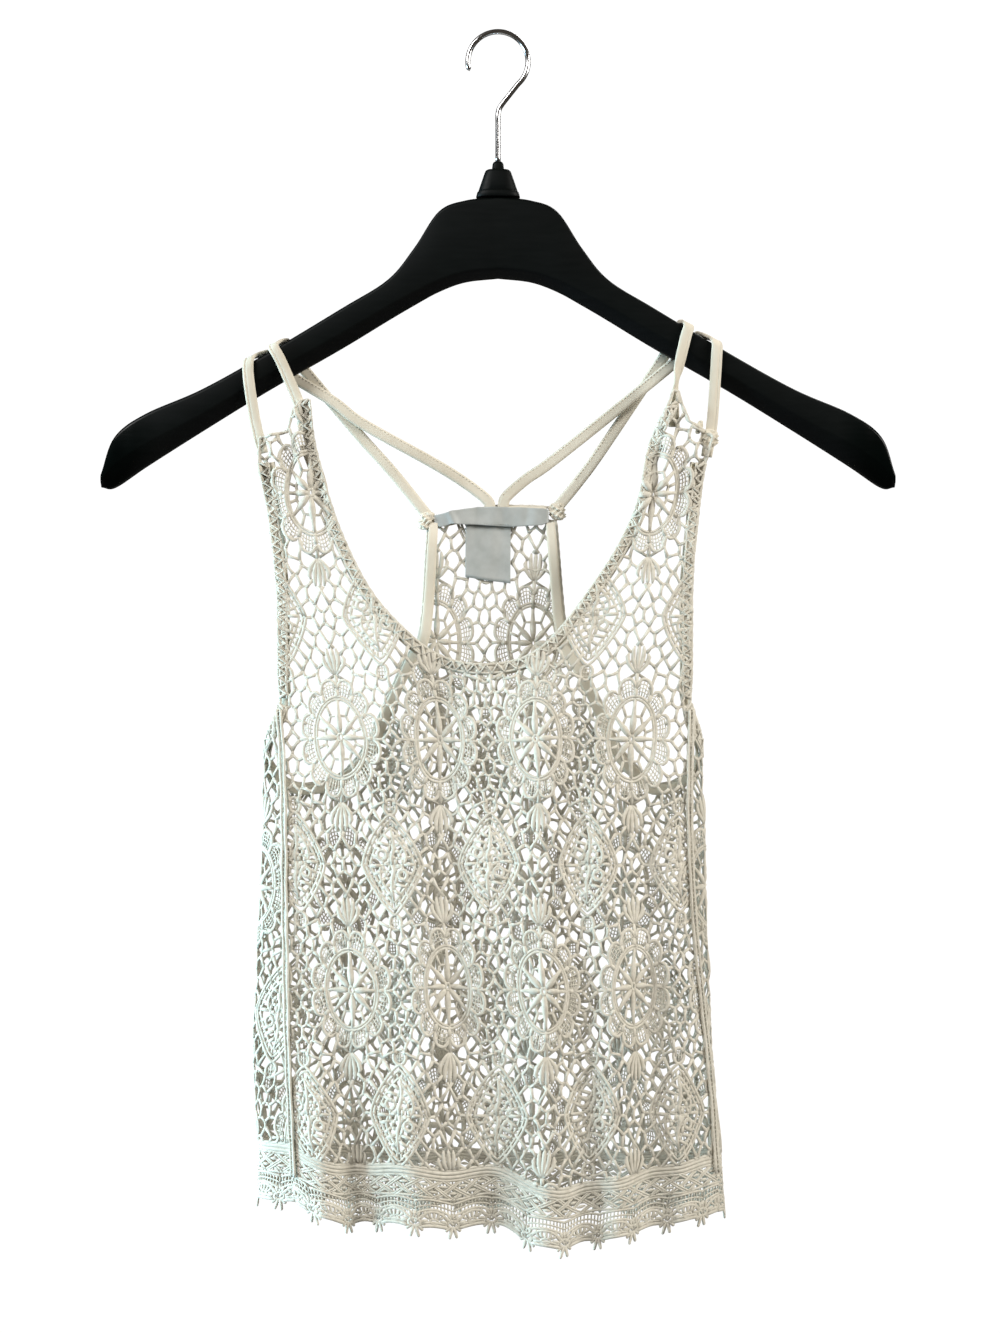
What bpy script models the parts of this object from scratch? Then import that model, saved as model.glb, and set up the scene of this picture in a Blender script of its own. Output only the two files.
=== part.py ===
"""A sleeveless crochet top with doubled straps, hanging on a moulded hanger.

The top is a flat tube of guipure lace, open at neck, armholes and hem. Front and back are
two lace panels, joined at the sides. An edging with small points is sewn round the hem,
jersey binding runs round the neck and the armholes, and four jersey straps pass over the
hanger to the narrow back. The origin is the inside of the hook, where a rail carries it.

Sizes are millimetres. build_mesh and the hook's curve turn them into metres.
"""

import math

import bmesh
import bpy
import numpy as np
from mathutils import Vector
from mathutils.geometry import delaunay_2d_cdt

MM = 0.001
GAP = 0.3
SEAM_INSET = 0.45
LINING_GAP = 0.5

# ---------------------------------------------------------------- driving dimensions

LACE_WALL = 2.0
BINDING_WIDTH = 6.4
BINDING_WALL = 1.6
STRAP_WIDTH = 6.8
STRAP_WALL = 2.2
LABEL_WALL = 0.7

UNDERARM_Z = -407.0
UNDERARM_DROP = 50.0
TRIM_HEIGHT = 42.0
TRIM_REPEAT = 23.4
PICOT_DROP = 7.0
EYELET_RADIUS = 2.5
EYELET_RISE = 10.6
SEAM_CORD = (4.6, 1.8)
SEAM_FOOT_Z = -690.0

REPEAT_WIDTH = 59.0
REPEAT_HEIGHT = 149.0
MEDALLION_Z = {"front": -429.0, "back": -370.0}
GAPS_PER_REPEAT = 13

HANGER_HALF_THICKNESS = 7.0
HANGER_TIP = 222.0
HANGER_EDGE = 1.6
HANGER_SLOPE = 0.58
WIRE = 3.2
HOOK_RADIUS = 18.3

# The body as flattened rings, a row a level: its ends to the left and right, the side
# seams, the middle of the lace and how far the front and the back stand out.
LEVEL_COLUMNS = ("z", "left", "right", "seam_left", "seam_right", "middle", "front", "back")
LEVELS = (
    (-190, -230, 220, -131, 117, -9, 12.6, 11.5),
    (-300, -205, 190, -134, 118, -9, 13.6, 12),
    (-350, -164, 149, -134, 118, -9, 15, 13),
    (-400, -138, 123, -133, 117, -8, 16.5, 15),
    (-450, -144, 125, -129, 115, -6, 19, 17.5),
    (-505, -143, 126, -128, 115, -5, 23, 21),
    (-570, -147, 127, -127, 120, -2, 27, 25),
    (-630, -149, 131, -125, 127, 0, 30, 29),
    (-690, -145, 136, -121, 131, 0, 33, 32),
    (-770, -148, 141, -118, 135, 0, 36, 36),
)
RING_ROUNDNESS = 2.6

# Soft folds that run down a panel: the side that they are on, where each starts and ends,
# its half width, and how far it stands out at either end. Below zero it is a trough.
FOLD_COLUMNS = ("side", "x_top", "z_top", "x_low", "z_low", "half_width", "rise_top", "rise_low")
FOLDS = (
    ("front", -110, -600, -104, -740, 13, 2.0, 8.0),
    ("front", -92, -590, -80, -740, 13, -1.5, -9.0),
    ("front", -52, -520, -50, -740, 14, 1.5, 6.0),
    ("front", -36, -380, -27, -600, 12, -3.5, -5.0),
    ("front", -12, -600, -6, -740, 16, -1.0, -10.0),
    ("front", 26, -400, 30, -740, 15, 3.0, 7.0),
    ("front", 44, -560, 52, -740, 10, -1.0, -6.0),
    ("front", 61, -470, 72, -740, 11, 5.0, 6.0),
    ("front", 84, -480, 94, -740, 11, -4.0, -6.0),
    ("front", 104, -520, 112, -740, 10, 3.0, 5.0),
    ("front", -70, -380, -72, -520, 14, 3.0, 0.0),
    ("back", -105, -500, -110, -740, 14, -1.0, -7.0),
    ("back", -78, -480, -82, -740, 15, 2.0, 7.0),
    ("back", -46, -420, -44, -740, 14, -3.0, -8.0),
    ("back", -14, -440, -10, -740, 16, 3.0, 7.0),
    ("back", 22, -430, 24, -740, 14, -2.0, -8.0),
    ("back", 52, -470, 56, -740, 15, 3.0, 7.0),
    ("back", 84, -500, 90, -740, 14, -2.0, -7.0),
)
FOLD_FADE = 70.0

# The shoulders pull the lace apart: how far, for each millimetre above the start.
SPREAD_RATE = 0.1
SPREAD_START = -431.0
SPREAD_REACH = 40.0

# The cut edges above the underarm, as x at each height.
NECKLINE = (
    # z, left, right
    (-224, -114, 104),
    (-250, -111, 92),
    (-287, -101, 84),
    (-315, -90, 71),
    (-342, -75, 53),
    (-364, -55, 36),
    (-377, -38, 21),
    (-383, -20, 3),
)
FRONT_ARMHOLE = (
    # z, left, right
    (-262, -144, 125),
    (-290, -139, 121),
    (-320, -135, 118),
    (-345, -133, 117),
    (-390, -133, 117),
)
BACK_ARMHOLE = (
    # z, left, right
    (-300, -43, 36),
    (-364, -48, 42),
    (-380, -57, 50),
    (-406, -69, 63),
    (-434, -82, 75),
    (-451, -97, 90),
)
# Under the arm the edge dips from the side seam to the back: steps along the cloth and down.
UNDERARM_DIP = ((7.0, 14.0), (17.0, 32.0), (30.0, UNDERARM_DROP - 3.0), (44.0, UNDERARM_DROP))

# The tops of the shoulders and of the back, as x and z.
LEFT_SHOULDER = ((-144, -247), (-127, -243), (-125, -227))
RIGHT_SHOULDER = ((109, -237), (121, -240), (130, -246))
BACK_TOP = ((-42, -296), (-20, -291), (-2, -288), (20, -290), (35, -291))

# The labels' corners along the cloth and up: top left, top right, bottom right, bottom left.
NECK_LABEL = ((-32, -294), (38, -290), (38, -303), (-31, -307))
CARE_LABEL = ((-12, -301), (16, -301), (14, -334), (-13, -332))

# The hem's lowest line, from seam to seam along the cloth.
HEM_COLUMNS = ("u", "front", "back")
HEM = (
    (-180, -712, -713),
    (-136, -713, -716),
    (-100, -726, -724),
    (-60, -722, -730),
    (-28, -728, -726),
    (0, -724, -731),
    (22, -734, -728),
    (44, -738, -732),
    (68, -733, -727),
    (90, -730, -730),
    (134, -722, -725),
    (180, -720, -721),
)

# Motifs of one lace repeat, as half sizes: a medallion in its middle, a shell above and
# below it, and a lozenge with two small tips at the corners.
MEDALLION = (23.0, 36.0)
SHELL = (7.5, 9.0)
SHELL_Z = 47.5
LOZENGE = (18.5, 30.5)
LOZENGE_POWER = 1.25
TIP = (3.6, 4.6)
TIP_Z = REPEAT_HEIGHT / 2 - LOZENGE[1] - TIP[1] + 0.8
NET_ROWS = 9
NET_COLUMNS = 4
NET_STRETCH = 1.45
NET_BAR = 2.2
NET_ROUNDS = 25
FILL_CLEARANCE = 4.0
FILL_STEPS = (12.0, 20.0)
GAP_MARGIN = 1.9

# One scallop of the hem's edging: places across it, and heights above its lowest point.
SCALLOP = (
    (-0.5, 7.5),
    (-0.3, 4.6),
    (-0.19, 1.8),
    (-0.1, 4.4),
    (0.0, 0.0),
    (0.1, 4.4),
    (0.19, 1.8),
    (0.3, 4.6),
)

# Straps, from the front shoulder up to the hanger, across its top between two places, and
# down behind it to the back. Twist turns a strap about its own length.
STRAPS = {
    "strap_left_outer": {
        # x, y, z, twist
        "front": ((-142.5, -8.3, -256, 0), (-147.3, -8.8, -235, 0), (-151, -8.9, -210, 0)),
        "over": (-151.0, -141.0),
        # x, y, z
        "behind": (
            (-135, 9, -202),
            (-102, 9, -222),
            (-83.4, 9, -236),
            (-42, 9, -259),
            (-22, 9.2, -270.5),
            (-5.6, 10.2, -285.2),
        ),
    },
    "strap_left_inner": {
        "front": ((-116.5, -8.7, -237, 0), (-122.8, -8.9, -220, 0), (-131.5, -8.8, -200, 0)),
        "over": (-136.0, -129.5),
        "behind": (
            (-124.5, 9.8, -196),
            (-115.5, 11.6, -207),
            (-86, 11.8, -242),
            (-64.5, 11.8, -266),
            (-42.6, 11.9, -293.3),
        ),
    },
    "strap_right_inner": {
        "front": (
            (106.5, -8.6, -240, 0),
            (107, -8.4, -220, 52),
            (108, -9.6, -211.5, 72),
            (109.5, -9.6, -203, 25),
            (113.5, -8.9, -186, 0),
        ),
        "over": (115.5, 111.5),
        "behind": (
            (107.5, 9.8, -184),
            (101, 11.6, -196),
            (63, 11.8, -253),
            (49, 11.8, -272),
            (35.9, 11.9, -288),
        ),
    },
    "strap_right_outer": {
        "front": ((126.2, -8.3, -258, 0), (129.6, -8.8, -237, 0), (132.3, -8.9, -198, 0)),
        "over": (132.5, 122.0),
        "behind": (
            (117, 9, -191),
            (86, 9, -217),
            (34, 9.2, -258.5),
            (16, 10.8, -270),
            (2.4, 13, -285),
        ),
    },
}
# The turn over the hanger: how far across, y, the height above the hanger's top, and the way
# that the strap faces, from 0 at the front over 90 upwards to 180 behind.
STRAP_TURN = (
    (0.0, -7.9, 0.6, 30),
    (0.2, -3.4, 2.6, 80),
    (0.7, 3.4, 2.6, 100),
    (1.0, 7.9, 0.6, 150),
)

# Half of the hanger: distance from its middle, top, underside and the height of the
# chamfer below its front and back faces.
HANGER_COLUMNS = ("x", "top", "under", "chamfer")
HANGER = (
    (0.0, -100.0, -148.7, 5.0),
    (20.0, -102.1, -151.0, 5.2),
    (36.0, -108.8, -156.8, 6.0),
    (51.0, -131.0, -165.0, 6.8),
    (67.0, -150.2, -174.4, 7.6),
    (95.0, -167.6, -191.4, 8.2),
    (140.0, -194.6, -217.2, 8.6),
    (180.0, -216.8, -241.8, 9.4),
    (214.0, -231.6, -263.4, 13.0),
    (233.0, -245.6, -276.2, 13.0),
    (241.4, -268.0, -276.0, 3.0),
)

# The size cap on the hanger's neck: rings from the hanger up to the hook.
CAP = (
    # z, half width, half depth
    (-99.7, 13.4, 8.0),
    (-96.4, 12.6, 8.0),
    (-96.0, 11.9, 7.4),
    (-84.2, 7.9, 6.2),
    (-83.0, 7.0, 5.4),
    (-82.6, 3.6, 3.6),
    (-79.4, 3.4, 3.4),
    (-77.8, 2.4, 2.4),
)

COLOURS = {
    "crochet": ((0.72, 0.69, 0.60), 0.9, 0.0),
    "jersey": ((0.78, 0.72, 0.58), 0.85, 0.0),
    "label": ((0.50, 0.53, 0.51), 0.6, 0.0),
    "hanger_plastic": ((0.012, 0.013, 0.014), 0.45, 0.0),
    "hook_wire": ((0.75, 0.75, 0.76), 0.2, 1.0),
}


def clear_scene():
    """Removes the objects that a new file opens with."""
    for obj in list(bpy.data.objects):
        bpy.data.objects.remove(obj, do_unlink=True)


def column(table, columns, name):
    """One named column of a table, as an array."""
    return np.array([row[columns.index(name)] for row in table], float)


def smooth_read(at, table, columns, name, reach):
    """A column read between its rows, as the mean over a short reach, so that it bends softly."""
    places = column(table, columns, columns[0])
    values = column(table, columns, name)
    order = np.argsort(places)
    at = np.asarray(at, float)
    steps = np.linspace(-reach, reach, 7)
    return sum(np.interp(at + step, places[order], values[order]) for step in steps) / len(steps)


def level(name, z):
    return smooth_read(z, LEVELS, LEVEL_COLUMNS, name, 25.0)


def hem(side, u):
    return smooth_read(u, HEM, HEM_COLUMNS, side, 8.0)


# ---------------------------------------------------------------- the draped cloth


def fold_push(side, x, z):
    """How far the folds of one side stand out at x and z: bell shaped across, fading at their ends."""
    push = np.zeros(np.broadcast(x, z).shape)
    for fold in FOLDS:
        row = dict(zip(FOLD_COLUMNS, fold))
        if row["side"] != side:
            continue
        down = (z - row["z_top"]) / (row["z_low"] - row["z_top"])
        along = np.clip(down, 0.0, 1.0)
        middle = row["x_top"] + down * (row["x_low"] - row["x_top"])
        rise = row["rise_top"] + along * (row["rise_low"] - row["rise_top"])
        past = np.maximum(z - row["z_top"], row["z_low"] - z)
        fade = np.clip(1.0 - past / FOLD_FADE, 0.0, 1.0)
        push += rise * fade**2 * np.exp(-(((x - middle) / row["half_width"]) ** 2))
    return push


def rings(z):
    """x and y round each level, from the middle of the back over the left to the front and on."""
    angle = np.linspace(0.0, 2.0 * math.pi, 1201)[None, :]
    z = z[:, None]
    half = (level("right", z) - level("left", z)) / 2.0
    middle = (level("right", z) + level("left", z)) / 2.0
    across = -np.sign(np.sin(angle)) * np.abs(np.sin(angle)) ** (2.0 / RING_ROUNDNESS)
    out = np.sign(np.cos(angle)) * np.abs(np.cos(angle)) ** (2.0 / RING_ROUNDNESS)
    x = middle + half * across
    back = np.cos(angle) > 0.0
    steady = np.clip(np.abs(out) * 1.4, 0.0, 1.0)
    y_back = level("back", z) * out + steady * fold_push("back", x, z)
    y_front = level("front", z) * out - steady * fold_push("front", x, z)
    return x, np.where(back, y_back, y_front)


class Sheet:
    """One side of the draped cloth: u runs along the cloth from its middle, z is the height."""

    STEP_U = 1.5
    STEP_Z = 3.0

    def __init__(self, side):
        self.side = side
        self.z = np.arange(-770.0, -189.0, self.STEP_Z)
        self.u = np.arange(-210.0, 210.1, self.STEP_U)
        x, y = rings(self.z)
        step = np.hypot(np.diff(x, axis=1), np.diff(y, axis=1))
        run = np.concatenate([np.zeros((len(x), 1)), np.cumsum(step, axis=1)], axis=1)
        self.points = np.empty((len(self.z), len(self.u), 3))
        spread = SPREAD_RATE * np.maximum(self.z - SPREAD_START, 0.0)
        half = x.shape[1] // 4
        for row, height in enumerate(self.z):
            if side == "front":
                front = slice(half, 3 * half + 1)
                start = np.interp(level("middle", height), x[row, front], run[row, front])
                at = start + self.u + spread[row] * np.tanh(self.u / SPREAD_REACH)
            else:
                at = -self.u % run[row, -1]
            self.points[row, :, 0] = np.interp(at, run[row], x[row])
            self.points[row, :, 1] = np.interp(at, run[row], y[row])
            self.points[row, :, 2] = height
        out = -1.0 if side == "back" else 1.0
        normal = out * np.cross(np.gradient(self.points, axis=1), np.gradient(self.points, axis=0))
        self.normals = normal / np.linalg.norm(normal, axis=2, keepdims=True)

    def read(self, grid, u, z):
        """A grid's value at (u, z), straight between its points."""
        column_at = np.clip((np.asarray(u) - self.u[0]) / self.STEP_U, 0, len(self.u) - 1.001)
        row_at = np.clip((np.asarray(z) - self.z[0]) / self.STEP_Z, 0, len(self.z) - 1.001)
        i = row_at.astype(int)
        j = column_at.astype(int)
        down = (row_at - i)[..., None]
        right = (column_at - j)[..., None]
        low = grid[i, j] * (1 - right) + grid[i, j + 1] * right
        high = grid[i + 1, j] * (1 - right) + grid[i + 1, j + 1] * right
        return low * (1 - down) + high * down

    def place(self, u, z, out=0.0):
        """The point of the cloth at (u, z), moved out of the garment by a distance."""
        return self.read(self.points, u, z) + out * self.read(self.normals, u, z)

    def u_at(self, x, z):
        """u where this side is at x, on the face that looks to the front or to the back."""
        across = self.place(self.u, np.full(len(self.u), z))[:, 0]
        low, high = np.argmin(across), np.argmax(across)
        return float(np.interp(x, across[low : high + 1], self.u[low : high + 1]))

    def seam_u(self, name, z):
        """u of a side seam. The back reaches it round the end of the ring."""
        x = float(level(name, z))
        if self.side == "front":
            return self.u_at(x, z)
        across = self.place(self.u, np.full(len(self.u), z))[:, 0]
        if name == "seam_left":
            turn = np.argmin(across)
            return float(np.interp(x, across[turn::-1], self.u[turn::-1]))
        turn = np.argmax(across)
        return float(np.interp(-x, -across[turn:], self.u[turn:]))

    def edge(self, rows, side):
        """The cloth places of a table of z, left and right, on one side."""
        pick = 1 if side == "left" else 2
        return [(self.u_at(row[pick], row[0]), row[0]) for row in rows]


# ---------------------------------------------------------------- the lace repeat


def in_motif(x, z):
    """True inside a motif, for points of the whole plane folded back to one quarter repeat."""
    x = np.abs((x + REPEAT_WIDTH / 2) % REPEAT_WIDTH - REPEAT_WIDTH / 2)
    z = np.abs((z + REPEAT_HEIGHT / 2) % REPEAT_HEIGHT - REPEAT_HEIGHT / 2)
    side = x - REPEAT_WIDTH / 2
    corner = z - REPEAT_HEIGHT / 2
    inside = (x / MEDALLION[0]) ** 2 + (z / MEDALLION[1]) ** 2 < 1
    inside |= (x / SHELL[0]) ** 2 + ((z - SHELL_Z) / SHELL[1]) ** 2 < 1
    lozenge = np.abs(side / LOZENGE[0]) ** LOZENGE_POWER + np.abs(corner / LOZENGE[1]) ** LOZENGE_POWER
    inside |= lozenge < 1
    inside |= (side / TIP[0]) ** 2 + ((z - TIP_Z) / TIP[1]) ** 2 < 1
    return inside


def motif_edges():
    """Points along the edges of a repeat's motifs, one quarter of them."""
    turn = np.linspace(0.0, 2.0 * math.pi, 96, endpoint=False)
    across, up = np.cos(turn), np.sin(turn)
    power = (np.abs(across) ** LOZENGE_POWER + np.abs(up) ** LOZENGE_POWER) ** (-1 / LOZENGE_POWER)
    return np.concatenate(
        [
            np.c_[MEDALLION[0] * across, MEDALLION[1] * up],
            np.c_[SHELL[0] * across, SHELL_Z + SHELL[1] * up],
            np.c_[REPEAT_WIDTH / 2 + TIP[0] * across, TIP_Z + TIP[1] * up],
            np.c_[
                REPEAT_WIDTH / 2 + LOZENGE[0] * power * across,
                REPEAT_HEIGHT / 2 + LOZENGE[1] * power * up,
            ],
        ]
    )


def gap_centres():
    """Middles of the net's gaps in a quarter repeat. A staggered grid is evened out: each
    middle moves to the centre of the cloth that lies nearest to it."""
    centres = []
    for row in range(NET_ROWS + 1):
        z = REPEAT_HEIGHT / 2 * row / NET_ROWS
        shift = 0.0 if row % 2 == 0 else 0.5
        for index in range(NET_COLUMNS + 1 - row % 2):
            x = REPEAT_WIDTH / 2 * (index + shift) / NET_COLUMNS
            if not in_motif(np.array(x * 0.998), np.array(z * 0.998)):
                centres.append((x, z))
    centres = np.array(centres)
    grid_x = np.arange(0.25, REPEAT_WIDTH / 2, 0.5)
    grid_z = np.arange(0.25, REPEAT_HEIGHT / 2, 0.5)
    cloth = np.stack(np.meshgrid(grid_x, grid_z), -1).reshape(-1, 2)
    cloth = cloth[~in_motif(cloth[:, 0], cloth[:, 1])]
    edges = (
        (0, centres[:, 0] < 1, 0.0),
        (0, centres[:, 0] > REPEAT_WIDTH / 2 - 1, REPEAT_WIDTH / 2),
        (1, centres[:, 1] < 1, 0.0),
        (1, centres[:, 1] > REPEAT_HEIGHT / 2 - 1, REPEAT_HEIGHT / 2),
    )
    for _ in range(NET_ROUNDS):
        apart = (cloth[:, None] - centres[None]) / [1.0, NET_STRETCH]
        nearest = (apart**2).sum(-1).argmin(1)
        for index in range(len(centres)):
            own = cloth[nearest == index]
            if len(own):
                centres[index] = own.mean(0)
        for axis, on_edge, value in edges:
            centres[on_edge, axis] = value
    return centres


def mirrored(quarter):
    """A quarter's points over the whole repeat, each once."""
    size = np.array([REPEAT_WIDTH, REPEAT_HEIGHT])
    whole = np.concatenate([quarter * [a, b] for a in (1, -1) for b in (1, -1)])
    whole = (whole + size / 2 + 1e-6) % size - size / 2 - 1e-6
    return np.unique(np.round(whole, 3), axis=0)


def net_gaps():
    """The largest gaps of one repeat, as outlines. Each is the cloth nearer to its own middle
    than to any other or to a motif's edge, less half a bar all round."""
    centres = mirrored(gap_centres())
    size = np.array([REPEAT_WIDTH, REPEAT_HEIGHT])
    tiles = [size * [i, j] for i in (-1, 0, 1) for j in (-1, 0, 1)]
    around = np.concatenate([centres + tile for tile in tiles])
    edge = np.concatenate([motif_edges() * [a, b] for a in (1, -1) for b in (1, -1)])
    edge = np.concatenate([edge + tile for tile in tiles])
    apart = ((around[:, None] - edge[None]) / [1.0, NET_STRETCH]) ** 2
    apart = apart.sum(-1)
    nearest = apart.argmin(1)
    close = apart[np.arange(len(around)), nearest] < 81.0
    seeds = np.concatenate([around, (2 * edge[nearest] - around)[close]]) / [1.0, NET_STRETCH]
    found = delaunay_2d_cdt([Vector(seed) for seed in seeds], [], [], 0, 1e-4)
    points = np.array([tuple(vertex) for vertex in found[0]])
    corners = np.array([list(face) for face in found[2]])
    a, b, c = (points[corners[:, k]] for k in range(3))
    twice = 2 * ((a[:, 0] - c[:, 0]) * (b[:, 1] - c[:, 1]) - (b[:, 0] - c[:, 0]) * (a[:, 1] - c[:, 1]))
    square = [(p**2).sum(1) for p in (a, b, c)]
    meet_x = (
        square[0] * (b[:, 1] - c[:, 1]) + square[1] * (c[:, 1] - a[:, 1]) + square[2] * (a[:, 1] - b[:, 1])
    ) / twice
    meet_z = (
        square[0] * (c[:, 0] - b[:, 0]) + square[1] * (a[:, 0] - c[:, 0]) + square[2] * (b[:, 0] - a[:, 0])
    ) / twice
    meets = np.c_[meet_x, meet_z] * [1.0, NET_STRETCH]
    gaps = []
    for vertex, sources in enumerate(found[3]):
        if not len(sources):
            continue
        middle = points[vertex] * [1.0, NET_STRETCH]
        own = min(sources) < len(around)
        if not own or np.any(middle < -size / 2 - 1e-3) or np.any(middle >= size / 2 - 1e-3):
            continue
        cell = meets[(corners == vertex).any(1)]
        cell = cell[np.argsort(np.arctan2(cell[:, 1] - middle[1], cell[:, 0] - middle[0]))]
        gaps.append(gap_outline(cell))
    gaps.sort(key=lambda gap: round(-outline_area(gap), 1))
    return gaps[:GAPS_PER_REPEAT]


def outline_area(outline):
    ahead = np.roll(outline, -1, axis=0)
    return 0.5 * float(np.sum(outline[:, 0] * ahead[:, 1] - ahead[:, 0] * outline[:, 1]))


def gap_outline(cell):
    """A cell drawn in by half a bar, with its short sides taken out."""
    ahead = np.roll(cell, -1, axis=0)
    cell = cell[np.linalg.norm(ahead - cell, axis=1) > 1.6]
    middle = cell.mean(0)
    reach = np.linalg.norm(cell - middle, axis=1, keepdims=True)
    return middle + (cell - middle) * (1.0 - 0.62 * NET_BAR / reach)


# ---------------------------------------------------------------- making meshes


def material(name):
    made = bpy.data.materials.get(name)
    if made is None:
        colour, roughness, metallic = COLOURS[name]
        made = bpy.data.materials.new(name)
        made.use_nodes = True
        shader = made.node_tree.nodes["Principled BSDF"]
        shader.inputs["Base Color"].default_value = (*colour, 1.0)
        shader.inputs["Roughness"].default_value = roughness
        shader.inputs["Metallic"].default_value = metallic
    return made


def add_object(name, data, finish, collection):
    obj = bpy.data.objects.new(name, data)
    own = material(finish).copy()
    own.name = name
    data.materials.append(own)
    collection.objects.link(obj)
    return obj


def build_mesh(name, points, faces, finish, collection):
    """A mesh object from points in millimetres."""
    mesh = bpy.data.meshes.new(name)
    mesh.from_pydata((np.asarray(points) * MM).tolist(), [], [list(face) for face in faces])
    mesh.update()
    return add_object(name, mesh, finish, collection)


def thicken(obj, wall):
    """Gives an open surface its thickness, half to either side."""
    shell = obj.modifiers.new("wall", "SOLIDIFY")
    shell.thickness = wall * MM
    shell.offset = 0.0
    return obj


def loft(name, sections, finish, collection):
    """A closed body through equal rings of points, with flat ends."""
    count, around = len(sections), len(sections[0])
    points = np.concatenate(sections)
    faces = []
    for k in range(count - 1):
        for i in range(around):
            j = (i + 1) % around
            faces.append((k * around + i, k * around + j, (k + 1) * around + j, (k + 1) * around + i))
    faces.append(tuple(range(around))[::-1])
    faces.append(tuple(range((count - 1) * around, count * around)))
    obj = build_mesh(name, points, faces, finish, collection)
    shape = bmesh.new()
    shape.from_mesh(obj.data)
    bmesh.ops.recalc_face_normals(shape, faces=shape.faces)
    shape.to_mesh(obj.data)
    shape.free()
    obj.data.shade_smooth()
    obj.data.set_sharp_from_angle(angle=math.radians(40))
    return obj


def smooth_route(route, parts):
    """Points on a Catmull-Rom curve through a route, with so many parts to each of its spans."""
    route = np.asarray(route, float)
    ends = np.concatenate([[2 * route[0] - route[1]], route, [2 * route[-1] - route[-2]]])
    spans = []
    for k in range(len(route) - 1):
        before, here, there, after = ends[k : k + 4]
        t = np.linspace(0.0, 1.0, parts, endpoint=False)[:, None]
        spans.append(
            0.5
            * (
                2 * here
                + (there - before) * t
                + (2 * before - 5 * here + 4 * there - after) * t**2
                + (3 * here - before - 3 * there + after) * t**3
            )
        )
    return np.concatenate([*spans, route[-1:]])


# A flat tube's section: places across its width, and out from its middle.
TUBE = ((0.5, 0.0), (0.36, 0.5), (-0.36, 0.5), (-0.5, 0.0), (-0.36, -0.5), (0.36, -0.5))


def ribbon_sections(path, facing, width, wall):
    """Rings of a flat tube along a path. Facing is the way that its flat side looks."""
    along = np.gradient(path, axis=0)
    along /= np.linalg.norm(along, axis=1, keepdims=True)
    across = np.cross(along, facing)
    across /= np.linalg.norm(across, axis=1, keepdims=True)
    out = np.cross(across, along)
    corners = [path + a * width * across + b * wall * out for a, b in TUBE]
    return list(np.stack(corners, axis=1))


def laid_sections(sheet, line, out, width, wall):
    """Rings of a flat tube that lies along the cloth and bends with it, out from its middle by
    a distance. Line runs in cloth places."""
    line = np.asarray(line, float)
    corners = []
    for a, b in TUBE:
        u, z = inset_line(line, a * width).T
        corners.append(sheet.place(u, z, out + b * wall))
    return list(np.stack(corners, axis=1))


def inset_line(points, distance):
    """A line in cloth places, moved to its left by a distance."""
    points = np.asarray(points, float)
    along = np.gradient(points, axis=0)
    along /= np.linalg.norm(along, axis=1, keepdims=True)
    return points + distance * np.c_[-along[:, 1], along[:, 0]]


# ---------------------------------------------------------------- lace panels and trim


def inside(outline, points):
    """Which points lie inside a closed outline, by crossings of a line to their right."""
    ahead = np.roll(outline, -1, axis=0)
    x, z = points[:, None, 0], points[:, None, 1]
    spans = (outline[None, :, 1] > z) != (ahead[None, :, 1] > z)
    rise = ahead[None, :, 1] - outline[None, :, 1]
    rise = np.where(np.abs(rise) < 1e-9, 1e-9, rise)
    cross = outline[None, :, 0] + (z - outline[None, :, 1]) / rise * (ahead[None, :, 0] - outline[None, :, 0])
    return (spans & (x < cross)).sum(1) % 2 == 1


def cut_sheet(outline, holes, fill):
    """Triangles of a flat outline with its holes left out, through the fill points between."""
    loops = [outline, *holes]
    edge_points = np.concatenate(loops)
    near = np.linalg.norm(fill[:, None] - edge_points[None], axis=2).min(1)
    fill = fill[inside(outline, fill) & (near > FILL_CLEARANCE)]
    edges = []
    start = 0
    for loop in loops:
        edges += [(start + k, start + (k + 1) % len(loop)) for k in range(len(loop))]
        start += len(loop)
    points = [Vector(point) for point in np.concatenate([edge_points, fill])]
    found = delaunay_2d_cdt(points, edges, [], 0, 1e-5)
    flat = np.array([tuple(vertex) for vertex in found[0]])
    faces = np.array([list(face) for face in found[2]])
    middle = flat[faces].mean(axis=1)
    keep = inside(outline, middle)
    for hole in holes:
        keep &= ~inside(hole, middle)
    faces = faces[keep]
    used, numbers = np.unique(faces, return_inverse=True)
    return flat[used], numbers.reshape(faces.shape).tolist()


def grid_of(low, high, step_u, step_z):
    u = np.arange(low[0], high[0], step_u)
    z = np.arange(low[1], high[1], step_z)
    grid = np.stack(np.meshgrid(u, z), -1)
    grid[1::2, :, 0] += step_u / 2
    return grid.reshape(-1, 2)


def seam_ends(sheet, raise_by):
    """u at the left and the right seam, where the line above the hem by a distance meets them."""
    ends = []
    for name, inset in (("seam_left", SEAM_INSET), ("seam_right", -SEAM_INSET)):
        z = float(hem(sheet.side, 0.0)) + raise_by
        for _ in range(3):
            u = sheet.seam_u(name, z)
            z = float(hem(sheet.side, u)) + raise_by
        ends.append(u + inset)
    return ends


def lower_edge(sheet, raise_by):
    """The line above the hem by a distance, from right to left between the seams."""
    left, right = seam_ends(sheet, raise_by)
    u = np.linspace(right, left, 31)
    return np.c_[u, hem(sheet.side, u) + raise_by]


def side_edges(sheet, top, bottom_left, bottom_right):
    """The side seams' lines in cloth places: the right one down and the left one up."""
    right = [(sheet.seam_u("seam_right", z) - SEAM_INSET, z) for z in np.linspace(top, bottom_right, 16)]
    left = [(sheet.seam_u("seam_left", z) + SEAM_INSET, z) for z in np.linspace(bottom_left, top, 16)]
    return right[:-1], left[1:]


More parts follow.
